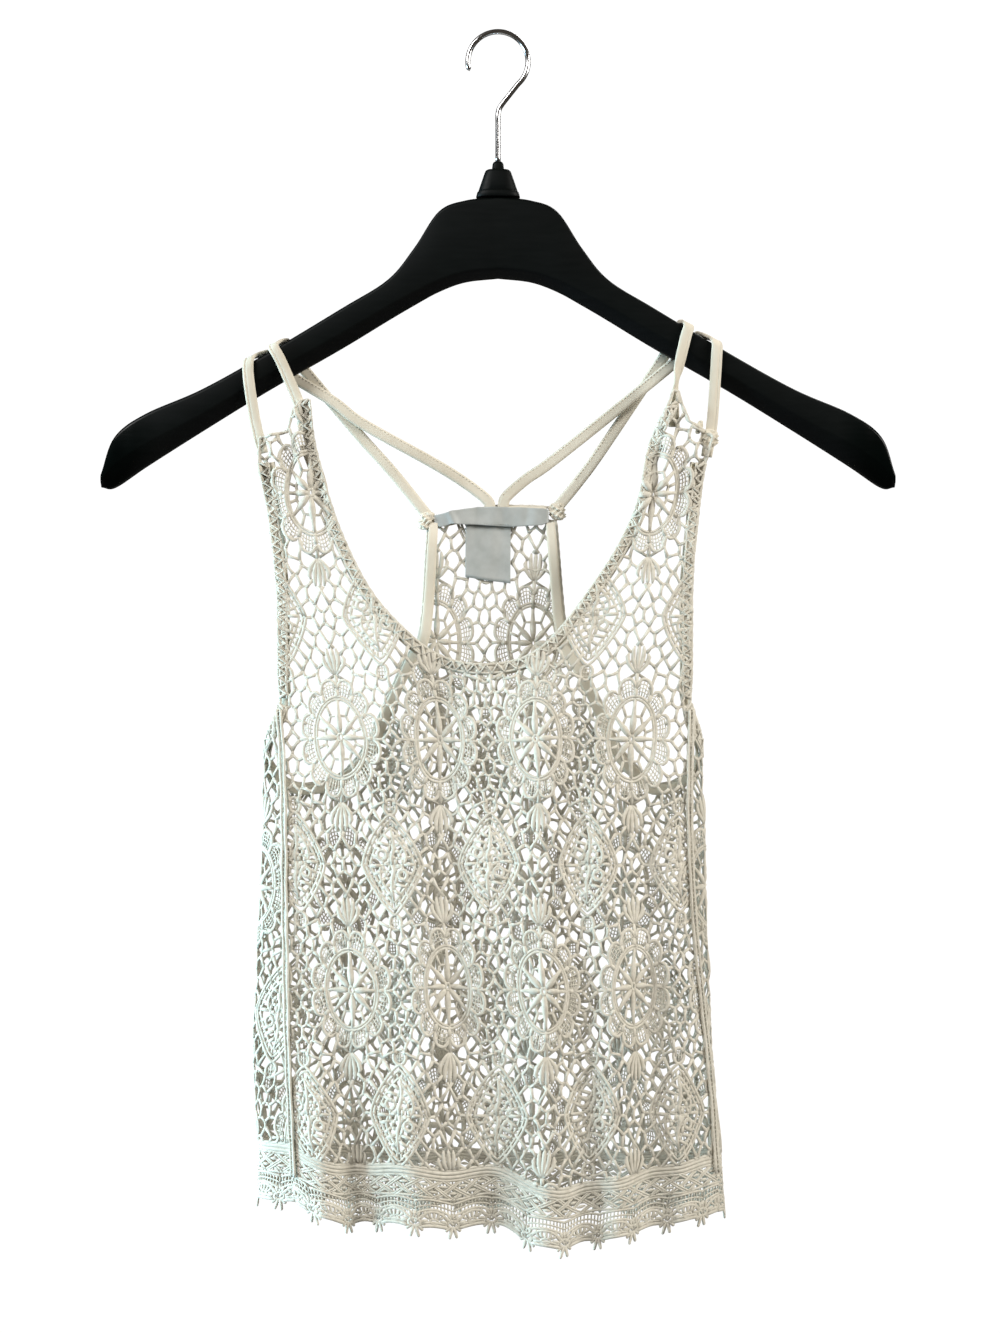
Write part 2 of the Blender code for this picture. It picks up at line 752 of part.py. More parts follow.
def front_outline(sheet):
    foot = lower_edge(sheet, TRIM_HEIGHT)
    right_side, left_side = side_edges(sheet, UNDERARM_Z, foot[-1, 1], foot[0, 1])
    return np.array(
        [
            *[(sheet.u_at(x, z), z) for x, z in LEFT_SHOULDER],
            *sheet.edge(NECKLINE, "left"),
            *sheet.edge(NECKLINE[::-1], "right"),
            *[(sheet.u_at(x, z), z) for x, z in RIGHT_SHOULDER],
            *sheet.edge(FRONT_ARMHOLE, "right"),
            *right_side,
            *foot,
            *left_side,
            *sheet.edge(FRONT_ARMHOLE[::-1], "left"),
        ]
    )


def back_armhole(sheet, side):
    """The back's armhole edge, from the top of the side seam, under the arm and up to the neck."""
    turn = -1.0 if side == "left" else 1.0
    top = sheet.seam_u("seam_" + side, UNDERARM_Z) - turn * SEAM_INSET
    under = [(top - turn * along, UNDERARM_Z - down) for along, down in UNDERARM_DIP]
    route = [(top, UNDERARM_Z), *under, *sheet.edge(BACK_ARMHOLE[::-1], side)]
    return smooth_route(route, 3)


def back_outline(sheet):
    foot = lower_edge(sheet, TRIM_HEIGHT)
    right_side, left_side = side_edges(sheet, UNDERARM_Z, foot[-1, 1], foot[0, 1])
    return np.array(
        [
            *[(sheet.u_at(x, z), z) for x, z in BACK_TOP],
            *back_armhole(sheet, "right")[::-1],
            *right_side[1:],
            *foot,
            *left_side[:-1],
            *back_armhole(sheet, "left"),
        ]
    )


def underarm_fill(sheet):
    """Places along the inside of the back's armhole edges, where the cloth turns sharply."""
    lines = []
    for side, turn in (("left", -1.0), ("right", 1.0)):
        edge = back_armhole(sheet, side)[1:13]
        lines += [inset_line(edge, turn * 4.6), inset_line(edge[::2], turn * 9.5)]
    return np.concatenate(lines)


def make_panel(name, sheet, outline, gaps, extra_fill, collection):
    """A lace panel: its outline cut from the draped cloth, with the net's larger gaps cut out."""
    low, high = outline.min(0), outline.max(0)
    holes = []
    repeats = range(math.floor(low[0] / REPEAT_WIDTH) - 1, math.ceil(high[0] / REPEAT_WIDTH) + 2)
    for repeat in repeats:
        for row in range(-3, 3):
            height = MEDALLION_Z[sheet.side] + row * REPEAT_HEIGHT
            place = np.array([(repeat + 0.5) * REPEAT_WIDTH, height])
            for gap in gaps:
                hole = gap + place
                middle = hole.mean(0)
                if inside(outline, middle + (hole - middle) * GAP_MARGIN).all():
                    holes.append(hole)
    fill = np.concatenate([grid_of(low, high, *FILL_STEPS), extra_fill])
    flat, faces = cut_sheet(outline, holes, fill)
    return cloth_object(name, sheet, flat, faces, "crochet", 0.0, LACE_WALL, collection)


def cloth_object(name, sheet, flat, faces, finish, out, wall, collection):
    """A wall of cloth from triangles in cloth places, out from the cloth's middle by a distance."""
    points = sheet.place(flat[:, 0], flat[:, 1], out)
    if sheet.side == "back":
        faces = [face[::-1] for face in faces]
    return thicken(build_mesh(name, points, faces, finish, collection), wall)


def make_trim(name, sheet, collection):
    """The hem's edging: straight above, with scallops of three small points below and a round
    eyelet in each scallop."""
    top = lower_edge(sheet, TRIM_HEIGHT - GAP)
    left, right = seam_ends(sheet, PICOT_DROP)
    count = round((right - left) / TRIM_REPEAT)
    pitch = (right - left) / count
    middles = left + pitch * (np.arange(count) + 0.5)
    lower = np.array([(middle + pitch * along, up) for middle in middles for along, up in SCALLOP])
    lower = np.concatenate([lower, [(right, SCALLOP[0][1])]])
    lower[:, 1] += hem(sheet.side, lower[:, 0])
    turn = np.linspace(0.0, 2.0 * math.pi, 7)[:-1]
    eyelet = np.c_[EYELET_RADIUS * np.cos(turn), EYELET_RADIUS * np.sin(turn) + EYELET_RISE]
    holes = [eyelet + [middle, float(hem(sheet.side, middle))] for middle in middles]
    u = np.linspace(left + 6.0, right - 6.0, count * 2)
    fill = np.c_[u, hem(sheet.side, u) + TRIM_HEIGHT * 0.58]
    flat, faces = cut_sheet(np.concatenate([lower, top]), holes, fill)
    return cloth_object(name, sheet, flat, faces, "crochet", 0.0, LACE_WALL, collection)


# ---------------------------------------------------------------- bindings, seams and labels


# How far a binding's middle lies inside the cloth's, and its line inside the cut edge. At the
# back an armhole's binding stops this share of the edge's last step up, just under the strap.
BINDING_IN = -(LACE_WALL / 2 + LINING_GAP + BINDING_WALL / 2)
BINDING_INSET = BINDING_WIDTH * 0.55
BINDING_TOP_SHARE = 0.5


def neck_binding_front(sheet, collection):
    """Jersey binding behind the edge of the front neck, between the inner straps' ends."""
    edge = smooth_route([*sheet.edge(NECKLINE, "left"), *sheet.edge(NECKLINE[::-1], "right")], 2)
    line = inset_line(edge[2:-2], -BINDING_INSET)
    sections = laid_sections(sheet, line, BINDING_IN, BINDING_WIDTH, BINDING_WALL)
    return loft("neck_binding_front", sections, "jersey", collection)


def neck_binding_back(sheet, collection):
    """Jersey binding inside the narrow top of the back."""
    edge = smooth_route([(sheet.u_at(x, z), z) for x, z in BACK_TOP], 3)[1:-1]
    line = inset_line(edge, -BINDING_INSET)
    sections = laid_sections(sheet, line, BINDING_IN, BINDING_WIDTH, BINDING_WALL)
    return loft("neck_binding_back", sections, "jersey", collection)


def armhole_binding(side, front, back, collection):
    """Jersey binding inside an armhole's edge: down the front, under the arm and up the back."""
    turn = -1.0 if side == "left" else 1.0
    seam = (front.seam_u("seam_" + side, UNDERARM_Z), UNDERARM_Z + 1.0)
    down = smooth_route([*front.edge(FRONT_ARMHOLE, side), seam], 2)
    down = inset_line(down, -turn * BINDING_INSET)[:-1]
    edge = back_armhole(back, side)
    top = edge[-2] + BINDING_TOP_SHARE * (edge[-1] - edge[-2])
    up = inset_line([*edge[2:-1], top], turn * BINDING_INSET)
    inward = BINDING_IN - 1.5 * LINING_GAP
    sections = laid_sections(front, down, inward, BINDING_WIDTH, BINDING_WALL)
    sections += laid_sections(back, up, inward, -BINDING_WIDTH, BINDING_WALL)
    return loft("armhole_binding_" + side, sections, "jersey", collection)


def side_seam(side, sheet, collection):
    """The raised double cord that covers a side seam, from the underarm to the edging."""
    width, wall = SEAM_CORD
    z = np.linspace(UNDERARM_Z - 4.0, SEAM_FOOT_Z, 26)
    line = np.c_[[sheet.seam_u("seam_" + side, height) for height in z], z]
    sections = laid_sections(sheet, line, LACE_WALL / 2 + GAP + wall / 2, width, wall)
    return loft("side_seam_" + side, sections, "crochet", collection)


def label(name, sheet, corners, inward, collection):
    """A flat label inside the back, from its four corners."""
    across = np.linspace(0.0, 1.0, 9)[None, :, None]
    down = np.linspace(0.0, 1.0, 4)[:, None, None]
    a, b, c, d = (np.array(corner, float) for corner in corners)
    flat = (1 - down) * ((1 - across) * a + across * b) + down * ((1 - across) * d + across * c)
    first = [row * 9 + k for row in range(3) for k in range(8)]
    faces = [(k + 1, k + 10, k + 9, k) for k in first]
    flat = flat.reshape(-1, 2)
    return cloth_object(name, sheet, flat, faces, "label", -inward, LABEL_WALL, collection)


# ---------------------------------------------------------------- straps and hanger


def strap_route(rows):
    """A strap's middle: up the front, over the hanger's top and down behind. Each row is x, y,
    z, the way that it faces and its twist."""
    start, end = rows["over"]
    heights = [column(HANGER, HANGER_COLUMNS, name) for name in ("x", "top")]
    over = []
    for share, y, above, facing in STRAP_TURN:
        x = start + share * (end - start)
        over.append((x, y, float(np.interp(abs(x), *heights)) + above, facing, 0))
    front = [(x, y, z, 0, twist) for x, y, z, twist in rows["front"]]
    behind = [(x, y, z, 180, 0) for x, y, z in rows["behind"]]
    return smooth_route([*front, *over, *behind], 2)


def make_strap(name, collection):
    route = strap_route(STRAPS[name])
    path = route[:, :3]
    turn, twist = np.radians(route[:, 3:]).T
    lean = np.sign(path[:, 0]) * HANGER_SLOPE * np.sin(turn)
    facing = np.c_[lean, -np.cos(turn), np.sin(turn)]
    facing /= np.linalg.norm(facing, axis=1, keepdims=True)
    along = np.gradient(path, axis=0)
    along /= np.linalg.norm(along, axis=1, keepdims=True)
    across = np.cross(along, facing)
    facing = facing * np.cos(twist)[:, None] + across * np.sin(twist)[:, None]
    return loft(name, ribbon_sections(path, facing, STRAP_WIDTH, STRAP_WALL), "jersey", collection)


def make_hanger(collection):
    """The hanger's body, lofted through upright sections with a chamfer under each face."""
    half = smooth_route(HANGER, 2)
    sections = []
    for x, top, under, chamfer in np.concatenate([half[:0:-1] * [-1, 1, 1, 1], half]):
        thick = HANGER_HALF_THICKNESS - 2.5 * max(0.0, (abs(x) - HANGER_TIP) / 20.0)
        foot = 0.4 * thick
        upper = [(-thick, top - HANGER_EDGE), (-thick + HANGER_EDGE, top)]
        lower = [(-foot, under), (-thick, under + chamfer)]
        ring = [*upper, *[(-y, z) for y, z in upper[::-1]], *[(-y, z) for y, z in lower[::-1]], *lower]
        sections.append(np.array([(x, y, z) for y, z in ring]))
    return loft("hanger_body", sections, "hanger_plastic", collection)


def make_cap(collection):
    """The size cap: rounded rings that close in towards the hook."""
    turn = np.linspace(0.0, 2.0 * math.pi, 17)[:-1]
    across = np.sign(np.cos(turn)) * np.abs(np.cos(turn)) ** 0.6
    deep = np.sign(np.sin(turn)) * np.abs(np.sin(turn)) ** 0.6
    sections = []
    for z, half_width, half_depth in CAP:
        sections.append(np.c_[half_width * across, half_depth * deep, np.full(16, z)])
    return loft("size_cap", sections, "hanger_plastic", collection)


def make_hook(collection):
    """The wire hook: a straight stem, a bend to the right and an arc over the rail."""
    middle_z = -HOOK_RADIUS + WIRE / 2
    turn = np.radians(np.linspace(-48.0, 198.0, 26))
    arc = np.c_[HOOK_RADIUS * np.cos(turn), middle_z + HOOK_RADIUS * np.sin(turn)]
    stem = ((0.0, CAP[-1][0] + GAP), (0.0, -66.0), (0.0, -54.0), (0.0, -49.0), (0.8, -45.4), (2.8, -42.2))
    route = np.concatenate([stem, arc])
    curve = bpy.data.curves.new("hook", "CURVE")
    curve.dimensions = "3D"
    curve.bevel_depth = WIRE / 2 * MM
    curve.bevel_resolution = 2
    curve.use_fill_caps = True
    spline = curve.splines.new("POLY")
    spline.points.add(len(route) - 1)
    for point, (x, z) in zip(spline.points, route):
        point.co = (x * MM, 0.0, z * MM, 1.0)
    return add_object("hook", curve, "hook_wire", collection)


clear_scene()
top = bpy.data.collections.new("crochet_top_on_hanger")
bpy.context.scene.collection.children.link(top)

make_hook(top)
make_cap(top)
make_hanger(top)
for strap_name in STRAPS:
    make_strap(strap_name, top)

front_sheet = Sheet("front")
back_sheet = Sheet("back")
lace_gaps = net_gaps()
no_fill = np.empty((0, 2))
make_panel("front_lace", front_sheet, front_outline(front_sheet), lace_gaps, no_fill, top)
make_panel("back_lace", back_sheet, back_outline(back_sheet), lace_gaps, underarm_fill(back_sheet), top)
make_trim("hem_trim_front", front_sheet, top)
make_trim("hem_trim_back", back_sheet, top)
neck_binding_front(front_sheet, top)
neck_binding_back(back_sheet, top)
for arm in ("left", "right"):
    armhole_binding(arm, front_sheet, back_sheet, top)
    side_seam(arm, front_sheet, top)

behind_binding = LACE_WALL / 2 + LINING_GAP + BINDING_WALL + GAP + LABEL_WALL / 2
label("neck_label", back_sheet, NECK_LABEL, behind_binding, top)
label("care_label", back_sheet, CARE_LABEL, LACE_WALL / 2 + GAP + LABEL_WALL / 2, top)
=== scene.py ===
"""The finished looks of a crochet top that hangs on a moulded hanger.

The sections follow the thing as it is put together: the hanger first, then the draped cloth,
the lace laid on it, its edging, seams, bindings, straps and labels, and last the room.
Sizes are millimetres until a mesh is made.
"""

import math

import bpy
import numpy as np
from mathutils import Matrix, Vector
from mathutils.geometry import delaunay_2d_cdt


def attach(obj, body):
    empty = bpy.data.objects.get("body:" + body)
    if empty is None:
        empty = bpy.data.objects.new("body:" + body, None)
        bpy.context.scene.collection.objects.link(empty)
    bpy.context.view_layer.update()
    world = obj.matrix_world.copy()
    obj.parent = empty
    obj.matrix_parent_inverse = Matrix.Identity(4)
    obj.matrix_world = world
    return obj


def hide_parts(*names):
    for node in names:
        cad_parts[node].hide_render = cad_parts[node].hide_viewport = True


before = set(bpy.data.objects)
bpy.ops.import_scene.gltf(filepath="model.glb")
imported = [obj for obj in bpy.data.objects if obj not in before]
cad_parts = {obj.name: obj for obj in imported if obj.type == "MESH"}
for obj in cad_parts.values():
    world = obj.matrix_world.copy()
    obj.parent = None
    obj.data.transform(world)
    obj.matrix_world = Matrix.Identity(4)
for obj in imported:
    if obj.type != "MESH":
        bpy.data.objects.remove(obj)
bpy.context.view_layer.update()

# ---------------------------------------------------------------- the wire hook
# One length of bright steel wire, pressed into the hanger's neck. It leaves the neck upright,
# bends to the right and runs round over the rail, and its cut end is rounded.

MM = 0.001
WIRE = 3.2
WIRE_SIDES = 20
WIRE_END = 0.15
HOOK_RADIUS = 18.3
HOOK_SWEEP = (-48.0, 198.0)
STEM_HEIGHTS = (-77.5, -72.0, -66.0, -60.0, -54.0, -49.0)
STEM_BEND = ((0.8, -45.4), (2.8, -42.2))


def smooth_route(rows, parts):
    """Points on a Catmull-Rom curve: in the span from b to c, with a before and d after, half
    of 2b + (c - a)t + (2a - 5b + 4c - d)t^2 + (3b - a - 3c + d)t^3."""
    rows = np.asarray(rows, float)
    ends = np.concatenate([[2 * rows[0] - rows[1]], rows, [2 * rows[-1] - rows[-2]]])
    t = np.linspace(0.0, 1.0, parts, endpoint=False)[None, :, None]
    a, b, c, d = (ends[k : len(ends) - 3 + k, None] for k in range(4))
    bend = (2 * a - 5 * b + 4 * c - d) * t**2 + (3 * b - a - 3 * c + d) * t**3
    spans = 0.5 * (2 * b + (c - a) * t + bend)
    return np.concatenate([spans.reshape(-1, rows.shape[1]), rows[-1:]])


def unit(ways):
    """Directions drawn to length 1."""
    return ways / np.linalg.norm(ways, axis=-1, keepdims=True)


def run_along(line):
    """How far along a line each of its points lies: the sum of the steps before it."""
    step = np.linalg.norm(np.diff(line, axis=-2), axis=-1)
    return np.concatenate([np.zeros((*step.shape[:-1], 1)), np.cumsum(step, axis=-1)], axis=-1)


def round_turn(count, more=0):
    """Angles at even steps round a full turn, and some more of them past its end."""
    return 2.0 * math.pi * np.arange(count + more) / count


def tube_faces(rings, around):
    """The quads of a tube of rings, each ring closed, from one ring to the next."""
    k, j = np.meshgrid(np.arange(rings - 1), np.arange(around), indexing="ij")
    ahead = (j + 1) % around
    quads = [k * around + j, k * around + ahead, (k + 1) * around + ahead, (k + 1) * around + j]
    return np.stack(quads, -1).reshape(-1, 4)


def closed_faces(rings, around):
    """A tube's quads and, for both of its ends, strips of quads from side to side. Its rings
    have an even number of points."""
    k = np.arange(around // 2 - 1)
    ends = np.stack([k, k + 1, around - 2 - k, around - 1 - k], -1)
    return np.concatenate([tube_faces(rings, around), ends[:, ::-1], ends + (rings - 1) * around])


def corner_places(around, along):
    """The corners of a grid's quads on its surface, from how far round it and how far along it
    each of its points lies."""
    place = np.stack(np.broadcast_arrays(around, along), -1)
    low, high = place[..., :-1, :, :], place[..., 1:, :, :]
    corners = [low[..., :-1, :], low[..., 1:, :], high[..., 1:, :], high[..., :-1, :]]
    return np.stack(corners, -2).reshape(*place.shape[:-3], -1, 4, 2)


def tube_places(rings):
    """A tube's corner places in millimetres, its middle ring's girth and its length."""
    middle = rings[len(rings) // 2]
    girth = run_along(np.concatenate([middle, middle[:1]]))
    along = run_along(rings.mean(1))
    return corner_places(girth, along[:, None]), float(girth[-1]), float(along[-1])


def facing_out(points, quads):
    """True if the quads of a closed shape face outwards: their volume, as a sum of the triple
    products of their two triangles, is above zero."""
    a, b, c, d = (points[quads[:, k]] for k in range(4))
    triple = np.einsum("ij,ij->i", a, np.cross(b, c)) + np.einsum("ij,ij->i", a, np.cross(c, d))
    return float(triple.sum()) > 0.0


def put_mesh(name, points, quads, finish, places=None):
    """A smooth mesh object from points in millimetres and quads. Places are the first quads'
    corners on the surface, kept as a UV map, in which the quads after them have none."""
    quads = np.asarray(quads)
    if not facing_out(points - points.mean(0), quads):
        quads = quads[:, ::-1]
        places = None if places is None else places[:, ::-1]
    mesh = bpy.data.meshes.new(name)
    mesh.vertices.add(len(points))
    mesh.vertices.foreach_set("co", (points * MM).astype(np.float32).ravel())
    mesh.loops.add(quads.size)
    mesh.loops.foreach_set("vertex_index", quads.astype(np.int32).ravel())
    mesh.polygons.add(len(quads))
    mesh.polygons.foreach_set("loop_start", np.arange(0, quads.size, 4, dtype=np.int32))
    mesh.update(calc_edges=True)
    if places is not None:
        lay = np.zeros((len(quads), 4, 2), np.float32)
        lay[: len(places)] = places
        mesh.uv_layers.new(name="lay").uv.foreach_set("vector", lay.ravel())
    mesh.validate()
    mesh.shade_smooth()
    mesh.materials.append(finish)
    piece = bpy.data.objects.new(name, mesh)
    bpy.context.scene.collection.objects.link(piece)
    return piece


def ring_piece(name, rings, finish, sharp=None):
    """A closed piece through rings of points, with its places kept in millimetres, and left
    sharp where its faces meet at more than an angle."""
    places, _, _ = tube_places(rings)
    piece = put_mesh(name, rings.reshape(-1, 3), closed_faces(*rings.shape[:2]), finish, places)
    if sharp is not None:
        piece.data.set_sharp_from_angle(angle=math.radians(sharp))
    return piece


def new_finish(name):
    """A node material, a function that adds a node to it and one that sets its shader. Both
    take numbers, colours and the outputs of other nodes, for inputs by number or by name."""
    finish = bpy.data.materials.new(name)
    finish.use_nodes = True
    nodes, links = finish.node_tree.nodes, finish.node_tree.links

    def give(node, key, value):
        if isinstance(value, bpy.types.NodeSocket):
            links.new(value, node.inputs[key])
        else:
            node.inputs[key].default_value = value

    def add(kind, *numbered, **named):
        node = nodes.new(kind)
        for key, value in [*numbered, *named.items()]:
            if isinstance(key, int) or key in node.inputs:
                give(node, key, value)
            else:
                setattr(node, key, value)
        return node

    def coat(values):
        for key, value in values.items():
            give(nodes["Principled BSDF"], key, value)

    return finish, add, coat


def maths(add, operation, *values):
    """One step of arithmetic on numbers or on other nodes' outputs."""
    return add("ShaderNodeMath", *enumerate(values), operation=operation).outputs[0]


def between(add, *value_and_limits):
    """A value carried from the first two limits to the other two, and held there past them."""
    return add("ShaderNodeMapRange", *enumerate(value_and_limits)).outputs["Result"]


def noise(add, place, scale, detail, roughness=0.5):
    """Soft noise read at a place."""
    node = add("ShaderNodeTexNoise", Vector=place, Scale=scale, Detail=detail, Roughness=roughness)
    return node.outputs["Fac"]


def ramp(add, value, low, high, places=(0.3, 0.7)):
    """A colour that goes from low to high as a value goes from one place to the other."""
    node = add("ShaderNodeValToRGB", Fac=value)
    for element, place, colour in zip(node.color_ramp.elements, places, (low, high)):
        element.position = place
        element.color = (*colour, 1.0)
    return node.outputs["Color"]


def bump(add, height, strength, depth):
    """The tilt that a height gives to the surface, with its full depth in metres."""
    return add("ShaderNodeBump", Height=height, Strength=strength, Distance=depth).outputs["Normal"]


def wire_finish():
    """Bright plated steel: drawn lines round the wire and faint cloudy wear in its gloss."""
    finish, add, coat = new_finish("plated_wire")
    place = add("ShaderNodeTexCoord").outputs["Object"]
    drawn = add("ShaderNodeMapping", Vector=place, Scale=(1.0, 1.0, 0.08)).outputs[0]
    cloud = noise(add, place, 90.0, 4.0)
    coat(
        {
            "Base Color": ramp(add, cloud, (0.60, 0.60, 0.61), (0.78, 0.78, 0.79)),
            "Metallic": 1.0,
            "Roughness": between(add, cloud, 0.0, 1.0, 0.10, 0.26),
            "Normal": bump(add, noise(add, drawn, 2600.0, 3.0), 0.12, 0.0001),
        }
    )
    return finish


def make_hook():
    """A round section carried along the hook's line: middle + r cos a sideways + r sin a deep,
    with the last rings drawn in to the rounded cut end."""
    turn = np.radians(np.linspace(*HOOK_SWEEP, 60))
    centre = -HOOK_RADIUS + WIRE / 2
    arc = np.c_[HOOK_RADIUS * np.cos(turn), centre + HOOK_RADIUS * np.sin(turn)]
    stem = [(0.0, height) for height in STEM_HEIGHTS]
    route = np.concatenate([smooth_route([*stem, *STEM_BEND], 3), arc])
    along = unit(np.gradient(route, axis=0))
    radius = np.full(len(route), WIRE / 2)
    radius[-1], radius[-2] = WIRE_END, WIRE * 0.42
    angle = round_turn(WIRE_SIDES)
    side = radius[:, None] * np.cos(angle)
    x = route[:, :1] - along[:, 1:] * side
    z = route[:, 1:] + along[:, :1] * side
    rings = np.stack([x, radius[:, None] * np.sin(angle), z], -1)
    return ring_piece("hook_wire", rings, wire_finish())


hook_wire = make_hook()
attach(hook_wire, "root")
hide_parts("hook")

# ---------------------------------------------------------------- the hanger
# A moulded plastic tops hanger in charcoal, with flat faces, rounded edges and a bevel along
# the underside that widens at the tips and is painted darker as painted shade. The tips are worn smooth and
# shine.

HANGER_HALF_THICKNESS = 7.0
HANGER_TIP = 222.0
HANGER_SLOPE = 0.58
PLASTIC_FACE = (0.0008, 0.0016, 0.0014)
# Painted shade: the darker colour given to surfaces that look down, such as the bevel.
PAINTED_UNDERSIDE_SHADE = (0.0003, 0.0004, 0.0004)
# The tips turn glossy between these reaches, in metres.
TIP_SHINE = (0.206, 0.232)
BODY_ROUGHNESS = 0.42
TIP_ROUGHNESS = 0.08
HANGER = (
    # x, top, underside, height of the bevel
    (0.0, -100.0, -148.7, 5.0),
    (20.0, -102.1, -151.0, 5.2),
    (36.0, -108.8, -156.8, 6.0),
    (51.0, -131.0, -165.0, 6.8),
    (67.0, -150.2, -174.4, 7.6),
    (95.0, -167.6, -191.4, 8.2),
    (140.0, -194.6, -217.2, 8.6),
    (180.0, -216.8, -241.8, 9.4),
    (214.0, -231.6, -263.4, 13.0),
    (233.0, -245.6, -276.2, 13.0),
    (241.4, -268.0, -276.0, 3.0),
)


def mixed(add, share, first, second, way="MIX"):
    """Two colours mixed by a share. They go into the node's inputs 6 and 7."""
    pair = ((6, first), (7, second))
    return add("ShaderNodeMix", *pair, Factor=share, data_type="RGBA", blend_type=way).outputs[2]


def plastic_finish():
    """Moulded charcoal plastic: a fine satin grain, faint rub marks, and gloss that rises to
    the tips. Surfaces that look down, as the bevel does, are painted darker as painted shade."""
    finish, add, coat = new_finish("charcoal_plastic")
    place = add("ShaderNodeTexCoord").outputs["Object"]
    reach = maths(add, "ABSOLUTE", add("ShaderNodeSeparateXYZ", Vector=place).outputs["X"])
    gloss = between(add, reach, *TIP_SHINE, BODY_ROUGHNESS, TIP_ROUGHNESS)
    rubbed = add("ShaderNodeMapping", Vector=place, Scale=(1.0, 1.0, 7.0)).outputs[0]
    facing = add("ShaderNodeNewGeometry").outputs["Normal"]
    upward = add("ShaderNodeSeparateXYZ", Vector=facing).outputs["Z"]
    # Painted shade: the share of the darker colour rises as the surface looks down.
    under = between(add, upward, -0.12, -0.5, 0.0, 1.0)
    worn_face = [1.5 * part for part in PLASTIC_FACE]
    face = ramp(add, noise(add, place, 45.0, 5.0, 0.65), PLASTIC_FACE, worn_face, (0.35, 0.7))
    coat(
        {
            "Base Color": mixed(add, under, face, (*PAINTED_UNDERSIDE_SHADE, 1.0)),
            "Roughness": maths(add, "MULTIPLY_ADD", noise(add, rubbed, 70.0, 6.0), 0.16, gloss),
            "Normal": bump(add, noise(add, place, 1400.0, 3.0), 0.10, 0.0001),
            "Specular IOR Level": 0.14,
        }
    )
    return finish


HANGER_FINISH = plastic_finish()


def make_hanger():
    """Upright rings along the hanger. A ring is the profile of half thickness t between its top
    and its underside: rounded edges above, flat faces, and a bevel to a foot 0.4 t wide."""
    half = smooth_route(HANGER, 8)
    whole = np.concatenate([half[:0:-1] * [-1, 1, 1, 1], half])
    x, top, under, chamfer = (whole[:, k, None] for k in range(4))
    thick = HANGER_HALF_THICKNESS - 2.5 * np.maximum(0.0, (np.abs(x) - HANGER_TIP) / 20.0)
    edge = np.minimum(2.6, 0.3 * (top - under))
    quarter = np.radians(np.linspace(0.0, 90.0, 6))[None, :]
    y_edge = -thick + edge * (1.0 - np.cos(quarter))
    z_edge = top - edge * (1.0 - np.sin(quarter))
    shoulder = np.concatenate([-thick, -thick + 0.25, -thick + 1.0], 1)
    shoulder_z = np.concatenate([under + chamfer + 1.2, under + chamfer, under + 0.8 * chamfer], 1)
    foot = np.concatenate([-0.46 * thick, -0.36 * thick, -0.2 * thick], 1)
    foot_z = np.concatenate([under + 0.9, under + 0.15, under + 0.0 * thick], 1)
    y = np.concatenate([foot[:, ::-1], shoulder[:, ::-1], y_edge], 1)
    z = np.concatenate([foot_z[:, ::-1], shoulder_z[:, ::-1], z_edge], 1)
    y = np.concatenate([y, -y[:, ::-1]], 1)
    z = np.concatenate([z, z[:, ::-1]], 1)
    return ring_piece("hanger_moulding", np.stack([x + 0.0 * y, y, z], -1), HANGER_FINISH, 50)


hanger_moulding = make_hanger()
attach(hanger_moulding, "root")
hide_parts("hanger_body")

# ---------------------------------------------------------------- the size cap
# A small clip-on cap of the same plastic round the hanger's neck: a rounded four-sided
# collar with a groove near its foot and a low dome where the wire comes out. It is left plain.

CAP = (
    # z, half width, half depth
    (-99.7, 13.2, 7.8),
    (-99.3, 13.4, 8.0),
    (-96.9, 12.8, 7.9),
    (-96.4, 12.4, 7.7),
    (-96.2, 11.7, 7.2),
    (-95.8, 11.6, 7.2),
    (-95.5, 11.9, 7.4),
    (-90.0, 10.0, 6.8),
    (-84.6, 8.1, 6.3),
    (-83.6, 7.6, 5.9),
    (-83.0, 6.6, 5.2),
    (-82.8, 4.2, 4.0),
    (-82.4, 3.7, 3.7),
    (-79.6, 3.4, 3.4),
    (-78.5, 3.0, 3.0),
    (-77.9, 2.3, 2.3),
)


def signed_power(value, power):
    """A value's size to a power, with its sign kept."""
    return np.sign(value) * np.abs(value) ** power


def make_cap():
    """Rings that are rounded rectangles, by the power 0.6 of the sine and the cosine."""
    turn = round_turn(32)
    across, deep = signed_power(np.cos(turn), 0.6), signed_power(np.sin(turn), 0.6)
    z, width, depth = np.array(CAP).T[..., None]
    rings = np.stack([width * across, depth * deep, z + 0.0 * across], -1)
    return ring_piece("neck_cap", rings, HANGER_FINISH, 40)


neck_cap = make_cap()
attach(neck_cap, "root")
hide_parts("size_cap")

# ---------------------------------------------------------------- the draped cloth
# The garment hangs as a flattened tube with soft folds. Both of its sides are worked out as
# grids of points and normals, and every strand, binding and label is then laid on them.

LEVEL_COLUMNS = ("z", "left", "right", "seam_left", "seam_right", "middle", "front", "back")
LEVELS = (
    (-190, -230, 220, -131, 117, -9, 12.6, 11.5),
    (-300, -205, 190, -134, 118, -9, 13.6, 12),
    (-350, -164, 149, -134, 118, -9, 15, 13),
    (-400, -138, 123, -133, 117, -8, 16.5, 15),
    (-450, -144, 125, -129, 115, -6, 19, 17.5),
    (-505, -143, 126, -128, 115, -5, 23, 21),
    (-570, -147, 127, -127, 120, -2, 27, 25),
    (-630, -149, 131, -125, 127, 0, 30, 29),
    (-690, -145, 136, -121, 131, 0, 33, 32),
    (-770, -148, 141, -118, 135, 0, 36, 36),
)
RING_ROUNDNESS = 2.6
FOLD_COLUMNS = ("side", "x_top", "z_top", "x_low", "z_low", "half_width", "rise_top", "rise_low")
